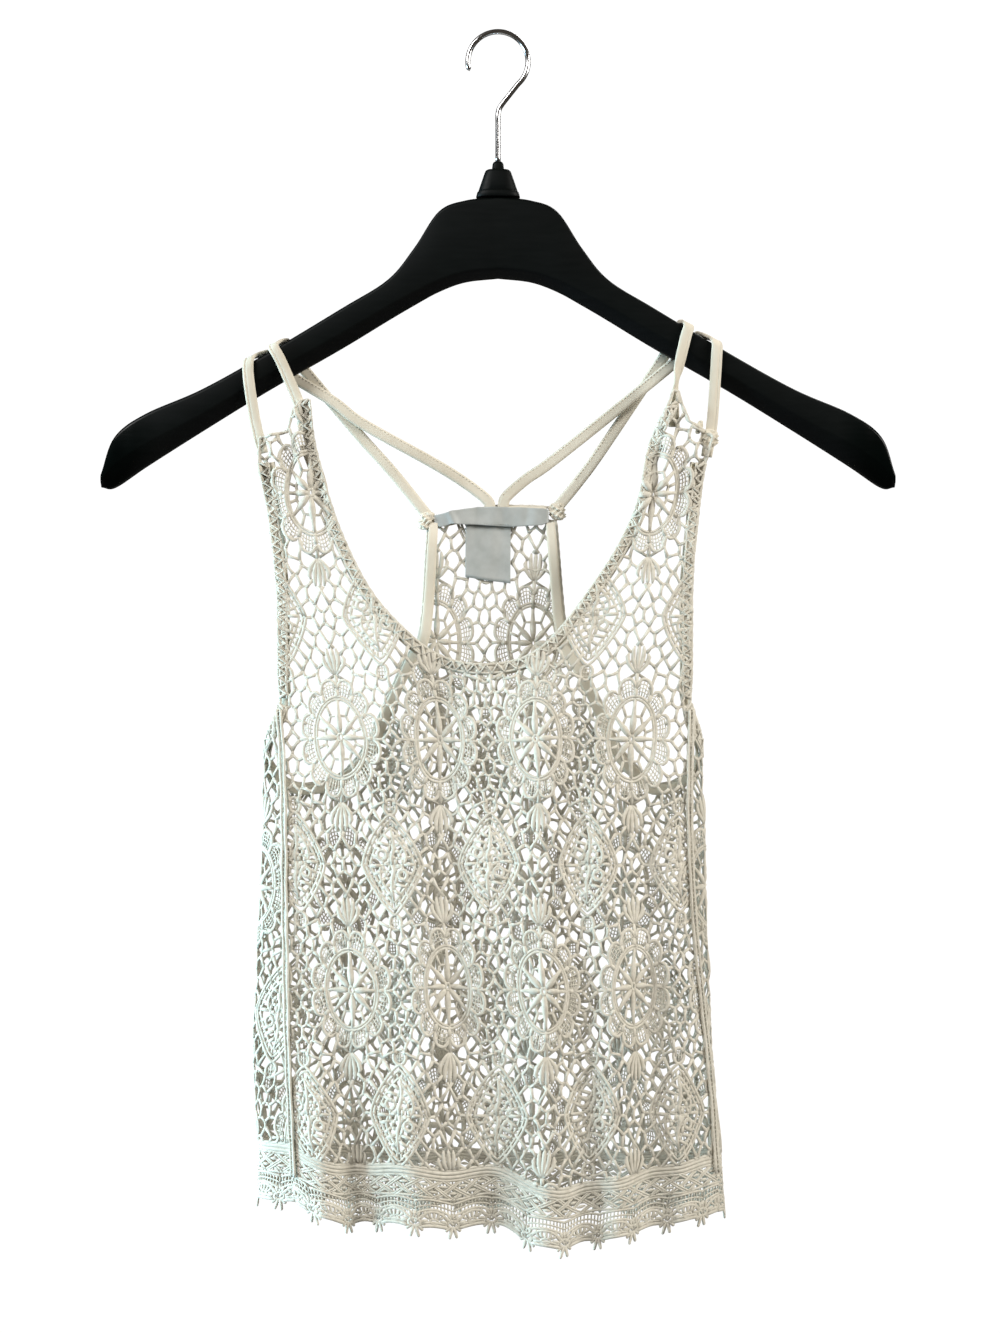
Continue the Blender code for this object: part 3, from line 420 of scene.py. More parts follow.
FOLDS = (
    ("front", -112, -600, -102, -740, 12, 2.0, 10.0),
    ("front", -94, -600, -80, -740, 9, -1.5, -12.0),
    ("front", -52, -520, -50, -740, 14, 1.5, 6.0),
    ("front", -36, -380, -27, -600, 12, -3.5, -5.0),
    ("front", -12, -600, -6, -740, 16, -1.0, -10.0),
    ("front", 26, -400, 30, -740, 15, 3.0, 7.0),
    ("front", 44, -560, 52, -740, 10, -1.0, -6.0),
    ("front", 61, -470, 72, -740, 11, 5.0, 6.0),
    ("front", 84, -480, 94, -740, 11, -4.0, -6.0),
    ("front", 104, -520, 112, -740, 10, 3.0, 5.0),
    ("front", -70, -380, -72, -520, 14, 3.0, 0.0),
    ("back", -105, -500, -110, -740, 14, -1.0, -7.0),
    ("back", -78, -480, -82, -740, 15, 2.0, 7.0),
    ("back", -46, -420, -44, -740, 14, -3.0, -8.0),
    ("back", -14, -440, -10, -740, 16, 3.0, 7.0),
    ("back", 22, -430, 24, -740, 14, -2.0, -8.0),
    ("back", 52, -470, 56, -740, 15, 3.0, 7.0),
    ("back", 84, -500, 90, -740, 14, -2.0, -7.0),
)
FOLD_FADE = 70.0
SPREAD_RATE = 0.1
SPREAD_START = -431.0
SPREAD_REACH = 40.0
HEM_COLUMNS = ("u", "front", "back")
HEM = (
    (-180, -712, -713),
    (-136, -713, -716),
    (-100, -726, -724),
    (-60, -722, -730),
    (-28, -728, -726),
    (0, -724, -731),
    (22, -734, -728),
    (44, -738, -732),
    (68, -733, -727),
    (90, -730, -730),
    (134, -722, -725),
    (180, -720, -721),
)


def column(table, columns, name):
    """One named column of a table, as an array."""
    return np.array([row[columns.index(name)] for row in table], float)


def smooth_read(at, table, columns, name, reach):
    """A column read between its rows, as the mean over a short reach, so that it bends softly."""
    places = column(table, columns, columns[0])
    values = column(table, columns, name)
    order = np.argsort(places)
    steps = np.linspace(-reach, reach, 7)
    return sum(np.interp(np.asarray(at, float) + step, places[order], values[order]) for step in steps) / 7


def level(name, z):
    """A column of the garment's levels, read at a height."""
    return smooth_read(z, LEVELS, LEVEL_COLUMNS, name, 25.0)


def hem(side, u):
    """The height of one side's hem at u."""
    return smooth_read(u, HEM, HEM_COLUMNS, side, 8.0)


def fold_push(side, x, z):
    """How far one side's folds stand out: a bell across each fold, fading past its ends."""
    push = np.zeros(np.broadcast(x, z).shape)
    for fold in FOLDS:
        row = dict(zip(FOLD_COLUMNS, fold))
        if row["side"] != side:
            continue
        down = (z - row["z_top"]) / (row["z_low"] - row["z_top"])
        middle = row["x_top"] + down * (row["x_low"] - row["x_top"])
        rise = row["rise_top"] + np.clip(down, 0.0, 1.0) * (row["rise_low"] - row["rise_top"])
        fade = np.clip(1.0 - np.maximum(z - row["z_top"], row["z_low"] - z) / FOLD_FADE, 0.0, 1.0)
        push += rise * fade**2 * np.exp(-(((x - middle) / row["half_width"]) ** 2))
    return push


def crumple(side, u, z):
    """The cloth's small unevenness: products of sines over some centimetres all over, and
    upright pleats where the straps gather the shoulders."""
    soft = 0.6 * np.sin(u / 9.1 + 1.3 * np.sin(z / 31.0)) * np.sin(z / 17.3 + 0.9 * np.sin(u / 23.0))
    soft += 0.35 * np.sin(u / 4.7 + z / 13.1) * np.sin(z / 7.9 - u / 19.0)
    gather = np.clip((z + 335.0) / 70.0, 0.0, 1.0) ** 1.5 * (2.1 if side == "front" else 0.5)
    return soft + gather * (np.sin(u / 2.3 + z / 33.0) + 0.5 * np.sin(u / 1.3 - z / 15.0))


def rings(z):
    """x and y round each level, from the middle of the back over the left to the front and on:
    sine and cosine to the power 2 / roundness, times the level's half width and its depth."""
    angle = np.linspace(0.0, 2.0 * math.pi, 1201)[None, :]
    z = z[:, None]
    left, right = level("left", z), level("right", z)
    across = -signed_power(np.sin(angle), 2.0 / RING_ROUNDNESS)
    out = signed_power(np.cos(angle), 2.0 / RING_ROUNDNESS)
    x = (right + left) / 2.0 + (right - left) / 2.0 * across
    steady = np.clip(np.abs(out) * 1.4, 0.0, 1.0)
    y_back = level("back", z) * out + steady * fold_push("back", x, z)
    y_front = level("front", z) * out - steady * fold_push("front", x, z)
    return x, np.where(np.cos(angle) > 0.0, y_back, y_front)


class Sheet:
    """One side of the draped cloth: u runs along the cloth from its middle, z is the height."""

    STEP_U = 1.5
    STEP_Z = 3.0

    def __init__(self, side):
        self.side = side
        self.z = np.arange(-770.0, -189.0, self.STEP_Z)
        self.u = np.arange(-210.0, 210.1, self.STEP_U)
        x, y = rings(self.z)
        step = np.hypot(np.diff(x, axis=1), np.diff(y, axis=1))
        run = np.concatenate([np.zeros((len(x), 1)), np.cumsum(step, axis=1)], axis=1)
        self.points = np.empty((len(self.z), len(self.u), 3))
        spread = SPREAD_RATE * np.maximum(self.z - SPREAD_START, 0.0)
        half = x.shape[1] // 4
        for row, height in enumerate(self.z):
            if side == "front":
                front = slice(half, 3 * half + 1)
                start = np.interp(level("middle", height), x[row, front], run[row, front])
                at = start + self.u + spread[row] * np.tanh(self.u / SPREAD_REACH)
            else:
                at = -self.u % run[row, -1]
            self.points[row, :, 0] = np.interp(at, run[row], x[row])
            self.points[row, :, 1] = np.interp(at, run[row], y[row])
            self.points[row, :, 2] = height
        self.normals = self.look()
        uneven = crumple(side, self.u[None, :], self.z[:, None])
        self.points = self.points + uneven[..., None] * self.normals
        self.normals = self.look()

    def look(self):
        """The way that the cloth faces: across its two directions on the grid."""
        out = -1.0 if self.side == "back" else 1.0
        return unit(out * np.cross(np.gradient(self.points, axis=1), np.gradient(self.points, axis=0)))

    def read(self, grid, u, z):
        """A grid's value at (u, z), straight between its points."""
        column_at = np.clip((np.asarray(u) - self.u[0]) / self.STEP_U, 0, len(self.u) - 1.001)
        row_at = np.clip((np.asarray(z) - self.z[0]) / self.STEP_Z, 0, len(self.z) - 1.001)
        i, j = row_at.astype(int), column_at.astype(int)
        down, right = (row_at - i)[..., None], (column_at - j)[..., None]
        low = grid[i, j] * (1 - right) + grid[i, j + 1] * right
        high = grid[i + 1, j] * (1 - right) + grid[i + 1, j + 1] * right
        return low * (1 - down) + high * down

    def place(self, u, z, out=0.0):
        """The point of the cloth at (u, z), moved out of the garment by a distance."""
        out = np.asarray(out, float)[..., None]
        return self.read(self.points, u, z) + out * self.read(self.normals, u, z)

    def u_at(self, x, z):
        """u where this side is at x, on the face that looks to the front or to the back."""
        across = self.place(self.u, np.full(len(self.u), z))[:, 0]
        low, high = np.argmin(across), np.argmax(across)
        return float(np.interp(x, across[low : high + 1], self.u[low : high + 1]))

    def seam_u(self, name, z):
        """u of a side seam. The back reaches it round the end of the ring."""
        x = float(level(name, z))
        if self.side == "front":
            return self.u_at(x, z)
        across = self.place(self.u, np.full(len(self.u), z))[:, 0]
        if name == "seam_left":
            turn = np.argmin(across)
            return float(np.interp(x, across[turn::-1], self.u[turn::-1]))
        turn = np.argmax(across)
        return float(np.interp(-x, -across[turn:], self.u[turn:]))

    def line(self, rows):
        """The cloth places of a table of x and z."""
        return [(self.u_at(x, z), z) for x, z in rows]

    def edge(self, rows, side):
        """The cloth places of a table of z, left and right, on one side."""
        pick = 1 if side == "left" else 2
        return self.line([(row[pick], row[0]) for row in rows])


front_sheet = Sheet("front")
back_sheet = Sheet("back")

# ---------------------------------------------------------------- the lace of the two panels
# Machine-made guipure in matt ivory cotton that looks like hand crochet. Raised cords draw
# medallions, shells and lozenges in a half-drop, and a free net of thin bars joins them. The
# panels are cut through the pattern, and their cut edges are whipped over.

SEAM_INSET = 0.45
UNDERARM_Z = -407.0
UNDERARM_DROP = 50.0
TRIM_HEIGHT = 42.0
REPEAT_WIDTH = 59.0
REPEAT_HEIGHT = 149.0
# The height of one medallion's middle on each side.
MEDALLION_Z = {"front": -429.0, "back": -370.0}
# Half sizes across and up, here and for the shell, the lozenge and its tips.
MEDALLION = (23.0, 36.0)
PETAL_RIM = (23.2, 36.0)
PETAL_FOOT = (16.2, 25.8)
PETAL_NOTCH = 0.18
PETAL_MESH = 0.46
WHEEL_RIM = (15.4, 25.0)
WHEEL = (13.9, 23.2)
WHEEL_ARMS = np.radians((0.0, 55.0, 90.0, 125.0, 180.0, 235.0, 270.0, 305.0))
WHEEL_BARS = np.radians((31.0, 75.0, 105.0, 149.0, 211.0, 255.0, 285.0, 329.0))
SHELL = (7.5, 9.0)
SHELL_Z = 47.5
LOZENGE = (18.5, 30.5)
LOZENGE_POWER = 1.25
SCROLL = (-5.9, 5.8)
TIP = (3.6, 4.6)
TIP_OVERLAP = 0.8
TIP_Z = REPEAT_HEIGHT / 2 - LOZENGE[1] - TIP[1] + TIP_OVERLAP
NET_ROWS = 9
NET_COLUMNS = 4
NET_STRETCH = 1.45
NET_ROUNDS = 25
NET_BAR = (1.45, 0.9, 1.45)
CUT_REACH = 45.0
CUT_STEPS = 6
WHIPPING_PITCH = 6.2
WHIPPING_WIDTH = 5.2
NECKLINE = (
    # z, left, right
    (-224, -114, 104),
    (-250, -111, 92),
    (-287, -101, 84),
    (-315, -90, 71),
    (-342, -75, 53),
    (-364, -55, 36),
    (-377, -38, 21),
    (-383, -20, 3),
)
FRONT_ARMHOLE = (
    # z, left, right
    (-262, -144, 125),
    (-290, -139, 121),
    (-320, -135, 118),
    (-345, -133, 117),
    (-390, -133, 117),
)
BACK_ARMHOLE = (
    # z, left, right
    (-300, -43, 36),
    (-364, -48, 42),
    (-380, -57, 50),
    (-406, -69, 63),
    (-434, -82, 75),
    (-451, -97, 90),
)
UNDERARM_DIP = ((7.0, 14.0), (17.0, 32.0), (30.0, UNDERARM_DROP - 3.0), (44.0, UNDERARM_DROP))
LEFT_SHOULDER = ((-144, -247), (-127, -243), (-124, -231), (-119, -224))
RIGHT_SHOULDER = ((106, -218), (109, -219), (112, -229), (115, -237), (121, -240), (130, -246))
BACK_TOP = ((-42, -295), (-20, -289.5), (-2, -286.5), (20, -286.5), (34, -287.5))


def yarn_finish(name, shade, tint, twist):
    """Matt cotton cord: close stitches that wind round each cord at a slant, a soft fluff over
    them, and slow changes of shade over the cloth. The winding follows the cord's own map."""
    finish, add, coat = new_finish(name)
    place = add("ShaderNodeTexCoord").outputs["Object"]
    lay = add("ShaderNodeUVMap", uv_map="lay").outputs["UV"]
    split = add("ShaderNodeSeparateXYZ", Vector=lay)
    around = maths(add, "MULTIPLY", split.outputs["X"], 2.0 * math.pi)
    wind = maths(add, "MULTIPLY_ADD", split.outputs["Y"], 2.0 * math.pi / twist, around)
    fluff = noise(add, place, 1500.0, 4.0, 0.7)
    height = maths(add, "MULTIPLY_ADD", maths(add, "SINE", wind), 0.35, fluff)
    base = ramp(add, noise(add, place, 17.0, 3.0), shade, tint)
    speck = noise(add, place, 330.0, 2.0)
    grey = ramp(add, speck, (0.86, 0.85, 0.83), (1.0, 1.0, 1.0), (0.3, 0.62))
    coat(
        {
            "Base Color": mixed(add, 1.0, base, grey, "MULTIPLY"),
            "Roughness": 0.88,
            "Normal": bump(add, height, 0.55, 0.00022),
            "Specular IOR Level": 0.25,
            "Sheen Weight": 0.12,
            "Sheen Roughness": 0.5,
        }
    )
    return finish


LACE_FINISH = yarn_finish("ivory_cotton_cord", (0.66, 0.62, 0.525), (0.74, 0.705, 0.61), 0.62)


def strand(line, radius, lift=0.0, flat=0.65, sides=6):
    """A strand of yarn in cloth places, and how many sides it has. Its columns are x, z, its
    height off the cloth's middle, half its width and half its thickness, its width times flat."""
    line = np.asarray(line, float)
    radius = np.broadcast_to(np.asarray(radius, float), len(line))
    return np.c_[line, np.full(len(line), lift), radius, radius * flat], sides


def oval(across, up, angle):
    """Points across * sin and up * cos of an angle, from the top clockwise."""
    return np.stack([across * np.sin(angle), up * np.cos(angle)], -1)


def loop(across, up, count, centre=(0.0, 0.0)):
    """A closed oval line that runs one step past its start."""
    return oval(across, up, round_turn(count, 2)) + centre


def rays(half_sizes, turn, steps):
    """Points on one ray of an oval, at shares of the way from its middle to its line."""
    return np.array([oval(*half_sizes, turn) * step for step in steps])


def medallion():
    """A wheel of eight thick arms inside a double ring, with a web that ties them, and twelve
    petals of coarse mesh round it. The petals' outer cord is an oval that draws in by a share
    at each joint, as the cube of the way there."""
    yarn = [strand(loop(*WHEEL_RIM, 40), 0.95, 0.35), strand(loop(*WHEEL, 40), 0.9, 0.35)]
    angle = round_turn(96, 2)
    notch = 1.0 - PETAL_NOTCH * np.abs((np.degrees(angle) % 30.0 - 15.0) / 15.0)[:, None] ** 3
    rim = oval(*PETAL_RIM, angle) * notch
    yarn.append(strand(rim, 1.2, 0.15))
    ring = oval(*PETAL_FOOT, angle)
    for share in (0.25, 0.48, 0.71):
        yarn.append(strand((ring + share * (rim - ring))[::2], PETAL_MESH, 0.3, sides=4))
    for index in range(12):
        turn = math.radians(30.0 * index)
        joint = rays(PETAL_RIM, turn, (0.68, 0.74, 0.83))
        yarn.append(strand(joint, (1.4, 1.5, 1.3), 0.05))
        for part in (-0.52, -0.17, 0.17, 0.52):
            spoke = turn + math.radians(15.0 + 15.0 * part)
            end = oval(*PETAL_RIM, spoke) * (1.0 - PETAL_NOTCH * abs(part) ** 3)
            yarn.append(strand([oval(*PETAL_FOOT, spoke), end], PETAL_MESH, 0.35, sides=4))
    for turn in WHEEL_ARMS:
        arm = rays(WHEEL, turn, (0.08, 0.28, 0.46, 0.6, 0.78, 1.0))
        yarn.append(strand(arm, (1.0, 2.0, 2.2, 1.6, 1.15, 1.1), 0.3))
    for turn in WHEEL_BARS:
        yarn.append(strand(rays(WHEEL, turn, (0.64, 1.0)), (0.95, 1.0)))
    turns = np.stack([WHEEL_ARMS, WHEEL_BARS], 1).ravel()
    reach = np.where(np.arange(18) % 2 == 0, 0.57, 0.65)[:, None]
    web = oval(*WHEEL, np.concatenate([turns, turns[:2]])) * reach
    return [*yarn, strand(web, 0.95), strand(loop(1.4, 2.2, 12), 1.1, 0.5)]


def shell(side):
    """A small crown of five ribs that spread from its tip, swell and end in points, with a cord
    across them, and two bars from its tip to the medallion's petals."""
    yarn = []
    share = np.array([0.0, 0.22, 0.5, 0.8, 1.0])
    for fan in (-1.0, -0.5, 0.0, 0.5, 1.0):
        up = -9.3 + (18.4 - 5.4 * fan**2) * share
        x = 6.3 * fan * np.sin(2.1 * share) / np.sin(2.1 * 0.7)
        yarn.append(strand(np.c_[x, side * (SHELL_Z + up)], (0.8, 1.15, 1.5, 1.4, 0.55), 0.2))
        if fan:
            petal = (6.4 * np.sign(fan), side * 34.6)
            yarn.append(strand([(0.0, side * 38.6), petal], 0.95))
    tie = np.array([(-6.8, 1.0), (-5.2, -1.6), (0.0, -2.8), (5.2, -1.6), (6.8, 1.0)])
    yarn.append(strand(tie * [1.0, side] + [0.0, side * SHELL_Z], 0.6, -0.3))
    return yarn


def lozenge_size(x, z):
    """|x / a|^p + |z / b|^p, which is 1 on the line round the whole lozenge."""
    return np.abs(x / LOZENGE[0]) ** LOZENGE_POWER + np.abs(z / LOZENGE[1]) ** LOZENGE_POWER


def lozenge_line(scale, angle):
    """A line on the lozenge: |x / a|^p + |z / b|^p = scale^p, from its right corner."""
    across, up = np.cos(angle), np.sin(angle)
    size = (np.abs(across) ** LOZENGE_POWER + np.abs(up) ** LOZENGE_POWER) ** (-1 / LOZENGE_POWER)
    return scale * np.stack([LOZENGE[0] * size * across, LOZENGE[1] * size * up], -1)


def shared_sides(middles, edge, stretch):
    """The sides that two neighbouring gaps share. A gap is the cloth nearer to its own middle
    than to any other or to an edge, so a side runs between the points that are equally far from
    three middles. Returns both ends of each side, and which of them lie on the edge."""
    middles, edge = middles / [1.0, stretch], edge / [1.0, stretch]
    apart = ((middles[:, None] - edge[None]) ** 2).sum(-1)
    nearest = apart.argmin(1)
    close = apart[np.arange(len(middles)), nearest] < 81.0
    seeds = np.concatenate([middles, (2 * edge[nearest] - middles)[close]])
    found = delaunay_2d_cdt([Vector(seed) for seed in seeds], [], [], 0, 1e-4)
    points = np.array([tuple(vertex) for vertex in found[0]])
    corners = np.array([list(face) for face in found[2]])
    own = np.array([bool(len(source)) and min(source) < len(middles) for source in found[3]])
    a, b, c = (points[corners[:, k]] for k in range(3))
    twice = 2 * ((a[:, 0] - c[:, 0]) * (b[:, 1] - c[:, 1]) - (b[:, 0] - c[:, 0]) * (a[:, 1] - c[:, 1]))
    square = [(p**2).sum(1) for p in (a, b, c)]
    rise, side = [b - c, c - a, a - b], [c - b, a - c, b - a]
    meet_x = sum(square[k] * rise[k][:, 1] for k in range(3)) / twice
    meet_z = sum(square[k] * side[k][:, 0] for k in range(3)) / twice
    meets = np.c_[meet_x, meet_z] * [1.0, stretch]
    sides = np.sort(np.concatenate([corners[:, [0, 1]], corners[:, [1, 2]], corners[:, [2, 0]]]), axis=1)
    triangle = np.tile(np.arange(len(corners)), 3)
    order = np.lexsort((sides[:, 1], sides[:, 0]))
    sides, triangle = sides[order], triangle[order]
    shared = np.flatnonzero((sides[1:] == sides[:-1]).all(1))
    pair = np.c_[triangle[shared], triangle[shared + 1]][own[sides[shared]].all(1)]
    return meets[pair], (~own[corners].all(1))[pair]


def lozenge_web():
    """Thick bars between small uneven gaps, which fill the middle of the lozenge. The gaps stand
    in staggered rows that sines shift a little, alike when the lozenge is turned over."""
    middles = [tuple(SCROLL)]
    for row in range(5):
        for index in range(-3, 4):
            x = 4.3 * (index + 0.5 * (row % 2)) + 0.7 * math.sin(3.1 * row + 5.3 * index)
            z = 2.0 + 3.9 * row + 0.6 * math.sin(2.3 * row + 4.1 * index)
            if lozenge_size(x, z) < 0.64**LOZENGE_POWER and math.dist((x, z), SCROLL) > 3.6:
                middles.append((x, z))
    middles = np.array(middles + [(-x, -z) for x, z in middles])
    bars, _ = shared_sides(middles, lozenge_line(0.745, np.radians(np.arange(0, 360, 4))), 1.0)
    return [bar for bar in bars if math.dist(*bar) > 0.4]


def lozenge():
    """Two cords that lie close together round a lozenge, a row of short slits inside them, and
    in the middle a web with a bent vein, two leaf sides and two round scrolls over it. Tips of
    fine mesh end it above and below."""
    yarn = []
    for scale, radius, lift in ((0.985, 1.0, 0.2), (0.88, 0.85, 0.2), (0.73, 0.9, 0.1)):
        yarn.append(strand(lozenge_line(scale, round_turn(48, 2)), radius, lift))
    for turn in 2.0 * math.pi * (np.arange(32) + 0.5) / 32:
        yarn.append(strand([lozenge_line(0.72, turn), lozenge_line(0.9, turn)], 0.8, sides=4))
    yarn += [strand(bar, 1.2, 0.1) for bar in lozenge_web()]
    for side in (1.0, -1.0):
        vein = np.array([(0.0, 21.5), (1.0, 15.0), (0.9, 9.0), (-0.6, 4.0), (0.0, 0.0)]) * side
        yarn.append(strand(vein, (0.9, 1.15, 1.25, 1.3, 1.2), 0.3))
        leaf = np.array([(0.4, 19.0), (5.2, 13.0), (8.2, 6.5), (6.6, 0.5), (0.6, -2.5)]) * side
        yarn.append(strand(smooth_route(leaf, 3), 1.0, 0.2))
        yarn.append(strand(loop(2.7, 3.0, 14, np.array(SCROLL) * side), 1.15, 0.25))
        centre = np.array([0.0, side * (LOZENGE[1] + TIP[1] - TIP_OVERLAP)])
        yarn.append(strand(loop(*TIP, 16, centre), 1.15))
        for x in (-1.7, 0.0, 1.7):
            yarn.append(strand(centre + [(x, -4.2), (x, 4.2)], 0.45, -0.1, sides=4))
        for z in (-2.2, 0.0, 2.2):
            yarn.append(strand(centre + [(-3.4, z), (3.4, z)], 0.45, -0.1, sides=4))
    return [(line + [REPEAT_WIDTH / 2, REPEAT_HEIGHT / 2, 0, 0, 0], sides) for line, sides in yarn]


def in_oval(half_sizes, x, z):
    """True where (x / a)^2 + (z / b)^2 is under 1."""
    return (x / half_sizes[0]) ** 2 + (z / half_sizes[1]) ** 2 < 1


def in_motif(x, z):
    """True inside a motif, for points of the whole plane folded back to one quarter repeat."""
    x = np.abs((x + REPEAT_WIDTH / 2) % REPEAT_WIDTH - REPEAT_WIDTH / 2)
    z = np.abs((z + REPEAT_HEIGHT / 2) % REPEAT_HEIGHT - REPEAT_HEIGHT / 2)
    side, corner = x - REPEAT_WIDTH / 2, z - REPEAT_HEIGHT / 2
    ovals = in_oval(MEDALLION, x, z) | in_oval(SHELL, x, z - SHELL_Z) | in_oval(TIP, side, z - TIP_Z)
    return ovals | (lozenge_size(side, corner) < 1)


def motif_edges():
    """Points along the edges of a repeat's motifs, one quarter of them."""
    turn = np.linspace(0.0, 2.0 * math.pi, 96, endpoint=False)
    circle = np.c_[np.cos(turn), np.sin(turn)]
    tip_middle, corner = (REPEAT_WIDTH / 2, TIP_Z), (REPEAT_WIDTH / 2, REPEAT_HEIGHT / 2)
    ovals = [circle * MEDALLION, circle * SHELL + (0.0, SHELL_Z), circle * TIP + tip_middle]
    return np.concatenate([*ovals, lozenge_line(1.0, turn) + corner])


def gap_centres():
    """Middles of the net's gaps in a quarter repeat. A staggered grid is evened out: each
    middle moves to the centre of the cloth that lies nearest to it."""
    centres = []
    for row in range(NET_ROWS + 1):
        z = REPEAT_HEIGHT / 2 * row / NET_ROWS
        for index in range(NET_COLUMNS + 1 - row % 2):
            x = REPEAT_WIDTH / 2 * (index + 0.5 * (row % 2)) / NET_COLUMNS
            if not in_motif(np.array(x * 0.998), np.array(z * 0.998)):
                centres.append((x, z))
    centres = np.array(centres)
    grid_x = np.arange(0.25, REPEAT_WIDTH / 2, 0.5)
    grid_z = np.arange(0.25, REPEAT_HEIGHT / 2, 0.5)
    cloth = np.stack(np.meshgrid(grid_x, grid_z), -1).reshape(-1, 2)
    cloth = cloth[~in_motif(cloth[:, 0], cloth[:, 1])]
    edges = (
        (0, centres[:, 0] < 1, 0.0),
        (0, centres[:, 0] > REPEAT_WIDTH / 2 - 1, REPEAT_WIDTH / 2),
        (1, centres[:, 1] < 1, 0.0),
        (1, centres[:, 1] > REPEAT_HEIGHT / 2 - 1, REPEAT_HEIGHT / 2),
    )
    for _ in range(NET_ROUNDS):
        apart = (cloth[:, None] - centres[None]) / [1.0, NET_STRETCH]
        nearest = (apart**2).sum(-1).argmin(1)
        for index in range(len(centres)):
            own = cloth[nearest == index]
            if len(own):
                centres[index] = own.mean(0)
        for axis, on_edge, value in edges:
            centres[on_edge, axis] = value
    return centres


def mirrored(quarter):
    """A quarter's points over the whole repeat, each once."""
    size = np.array([REPEAT_WIDTH, REPEAT_HEIGHT])
    whole = np.concatenate([quarter * [a, b] for a in (1, -1) for b in (1, -1)])
    whole = (whole + size / 2 + 1e-6) % size - size / 2 - 1e-6
    return np.unique(np.round(whole, 3), axis=0)


def net():
    """The net's bars, one to each side that two gaps share. Each bows a little, and those that
    meet a motif run on under its cord."""
    centres = mirrored(gap_centres())
    size = np.array([REPEAT_WIDTH, REPEAT_HEIGHT])
    tiles = [size * [i, j] for i in (-1, 0, 1) for j in (-1, 0, 1)]
    around = np.concatenate([centres + tile for tile in tiles])
    edge = np.concatenate([motif_edges() * [a, b] for a in (1, -1) for b in (1, -1)])
    edge = np.concatenate([edge + tile for tile in tiles])
    bars, on_motif = shared_sides(around, edge, NET_STRETCH)
    middle, way = bars.mean(1), bars[:, 1] - bars[:, 0]
    long = np.linalg.norm(way, axis=1)
    inside = (middle >= -size / 2 - 1e-4).all(1) & (middle < size / 2 - 1e-4).all(1)
    keep = inside & (long < 30) & (long > 0.4)
    bars, on_motif, way = bars[keep], on_motif[keep], (way / long[:, None])[keep]
    past = np.where(on_motif, 3.2, 0.4)
    start, end = bars[:, 0] - past[:, :1] * way, bars[:, 1] + past[:, 1:] * way
    bow = 0.35 * np.sin(7.0 * np.arange(len(bars)))[:, None] * way[:, ::-1] * [-1.0, 1.0]
    middle = (start + end) / 2 + bow
    return [strand(bar, NET_BAR) for bar in np.stack([start, middle, end], 1)]


def inside(outline, points):
    """Which points lie inside a closed outline, by crossings of a line to their right."""
    ahead = np.roll(outline, -1, axis=0)
    rise = ahead[None, :, 1] - outline[None, :, 1]
    rise = np.where(np.abs(rise) < 1e-9, 1e-9, rise)
    slope = (ahead[None, :, 0] - outline[None, :, 0]) / rise
    found = []
    for part in np.array_split(points, len(points) // 20000 + 1):
        x, z = part[:, None, 0], part[:, None, 1]
        spans = (outline[None, :, 1] > z) != (ahead[None, :, 1] > z)
        cross = outline[None, :, 0] + (z - outline[None, :, 1]) * slope
        found.append((spans & (x < cross)).sum(1) % 2 == 1)
    return np.concatenate(found)


def sorted_yarn(yarn):
    """Strands with equally many points and sides, stacked into whole arrays."""
    groups = {}
    for line, sides in yarn:
        groups.setdefault((len(line), sides), []).append(line)
    return {key: np.stack(lines) for key, lines in groups.items()}


def shifted(line):
    """A strand moved along the cloth by slow waves, as the lace pulls and eases when it hangs."""
    line = line.copy()
    x, z = line[..., 0].copy(), line[..., 1].copy()
    line[..., 0] += 0.9 * np.sin(z / 26.0 + x / 41.0) + 0.5 * np.sin(z / 11.0 - x / 17.0)
    line[..., 1] += 0.9 * np.sin(x / 22.0 - z / 37.0) + 0.5 * np.sin(x / 10.0 + z / 29.0)
    return line


def read_line(line, run, at):
    """A line's points at places along it, straight between the points that it has."""
    return np.stack([np.interp(at, run, values) for values in line.T], 1)


def cut_lace(repeat, side, outline):
    """The repeat laid side by side over an outline, and its strands cut off at the outline. One
    that crosses it is read at six times as many places, and its runs inside stay."""
    low, high = outline.min(0) - CUT_REACH, outline.max(0) + CUT_REACH
    cells = np.array(
        [
            ((i + 0.5) * REPEAT_WIDTH, MEDALLION_Z[side] + j * REPEAT_HEIGHT, 0, 0, 0)
            for i in range(-5, 5)
            for j in range(-3, 3)
        ]
    )
    kept = []
    for (count, sides), lines in sorted_yarn(repeat).items():
        laid = shifted((lines[None] + cells[:, None, None]).reshape(-1, count, 5))
        middle = laid[..., :2].mean(1)
        laid = laid[((middle > low) & (middle < high)).all(1)]
        within = inside(outline, laid[..., :2].reshape(-1, 2)).reshape(-1, count)
        kept += [(line, sides) for line in laid[within.all(1)]]
        fine = np.linspace(0, count - 1, (count - 1) * CUT_STEPS + 1)
        for line in laid[within.any(1) & ~within.all(1)]:
            dense = read_line(line, np.arange(count), fine)
            there = inside(outline, dense[:, :2]).astype(int)
            turns = np.flatnonzero(np.diff(np.concatenate([[0], there, [0]])))
            for first, last in zip(turns[::2], turns[1::2]):
                if last - first > 2:
                    points = max(2, round((last - first) / CUT_STEPS) + 1)
                    steps = np.linspace(first, last - 1, points)
                    kept.append((dense[steps.round().astype(int)], sides))
    return kept


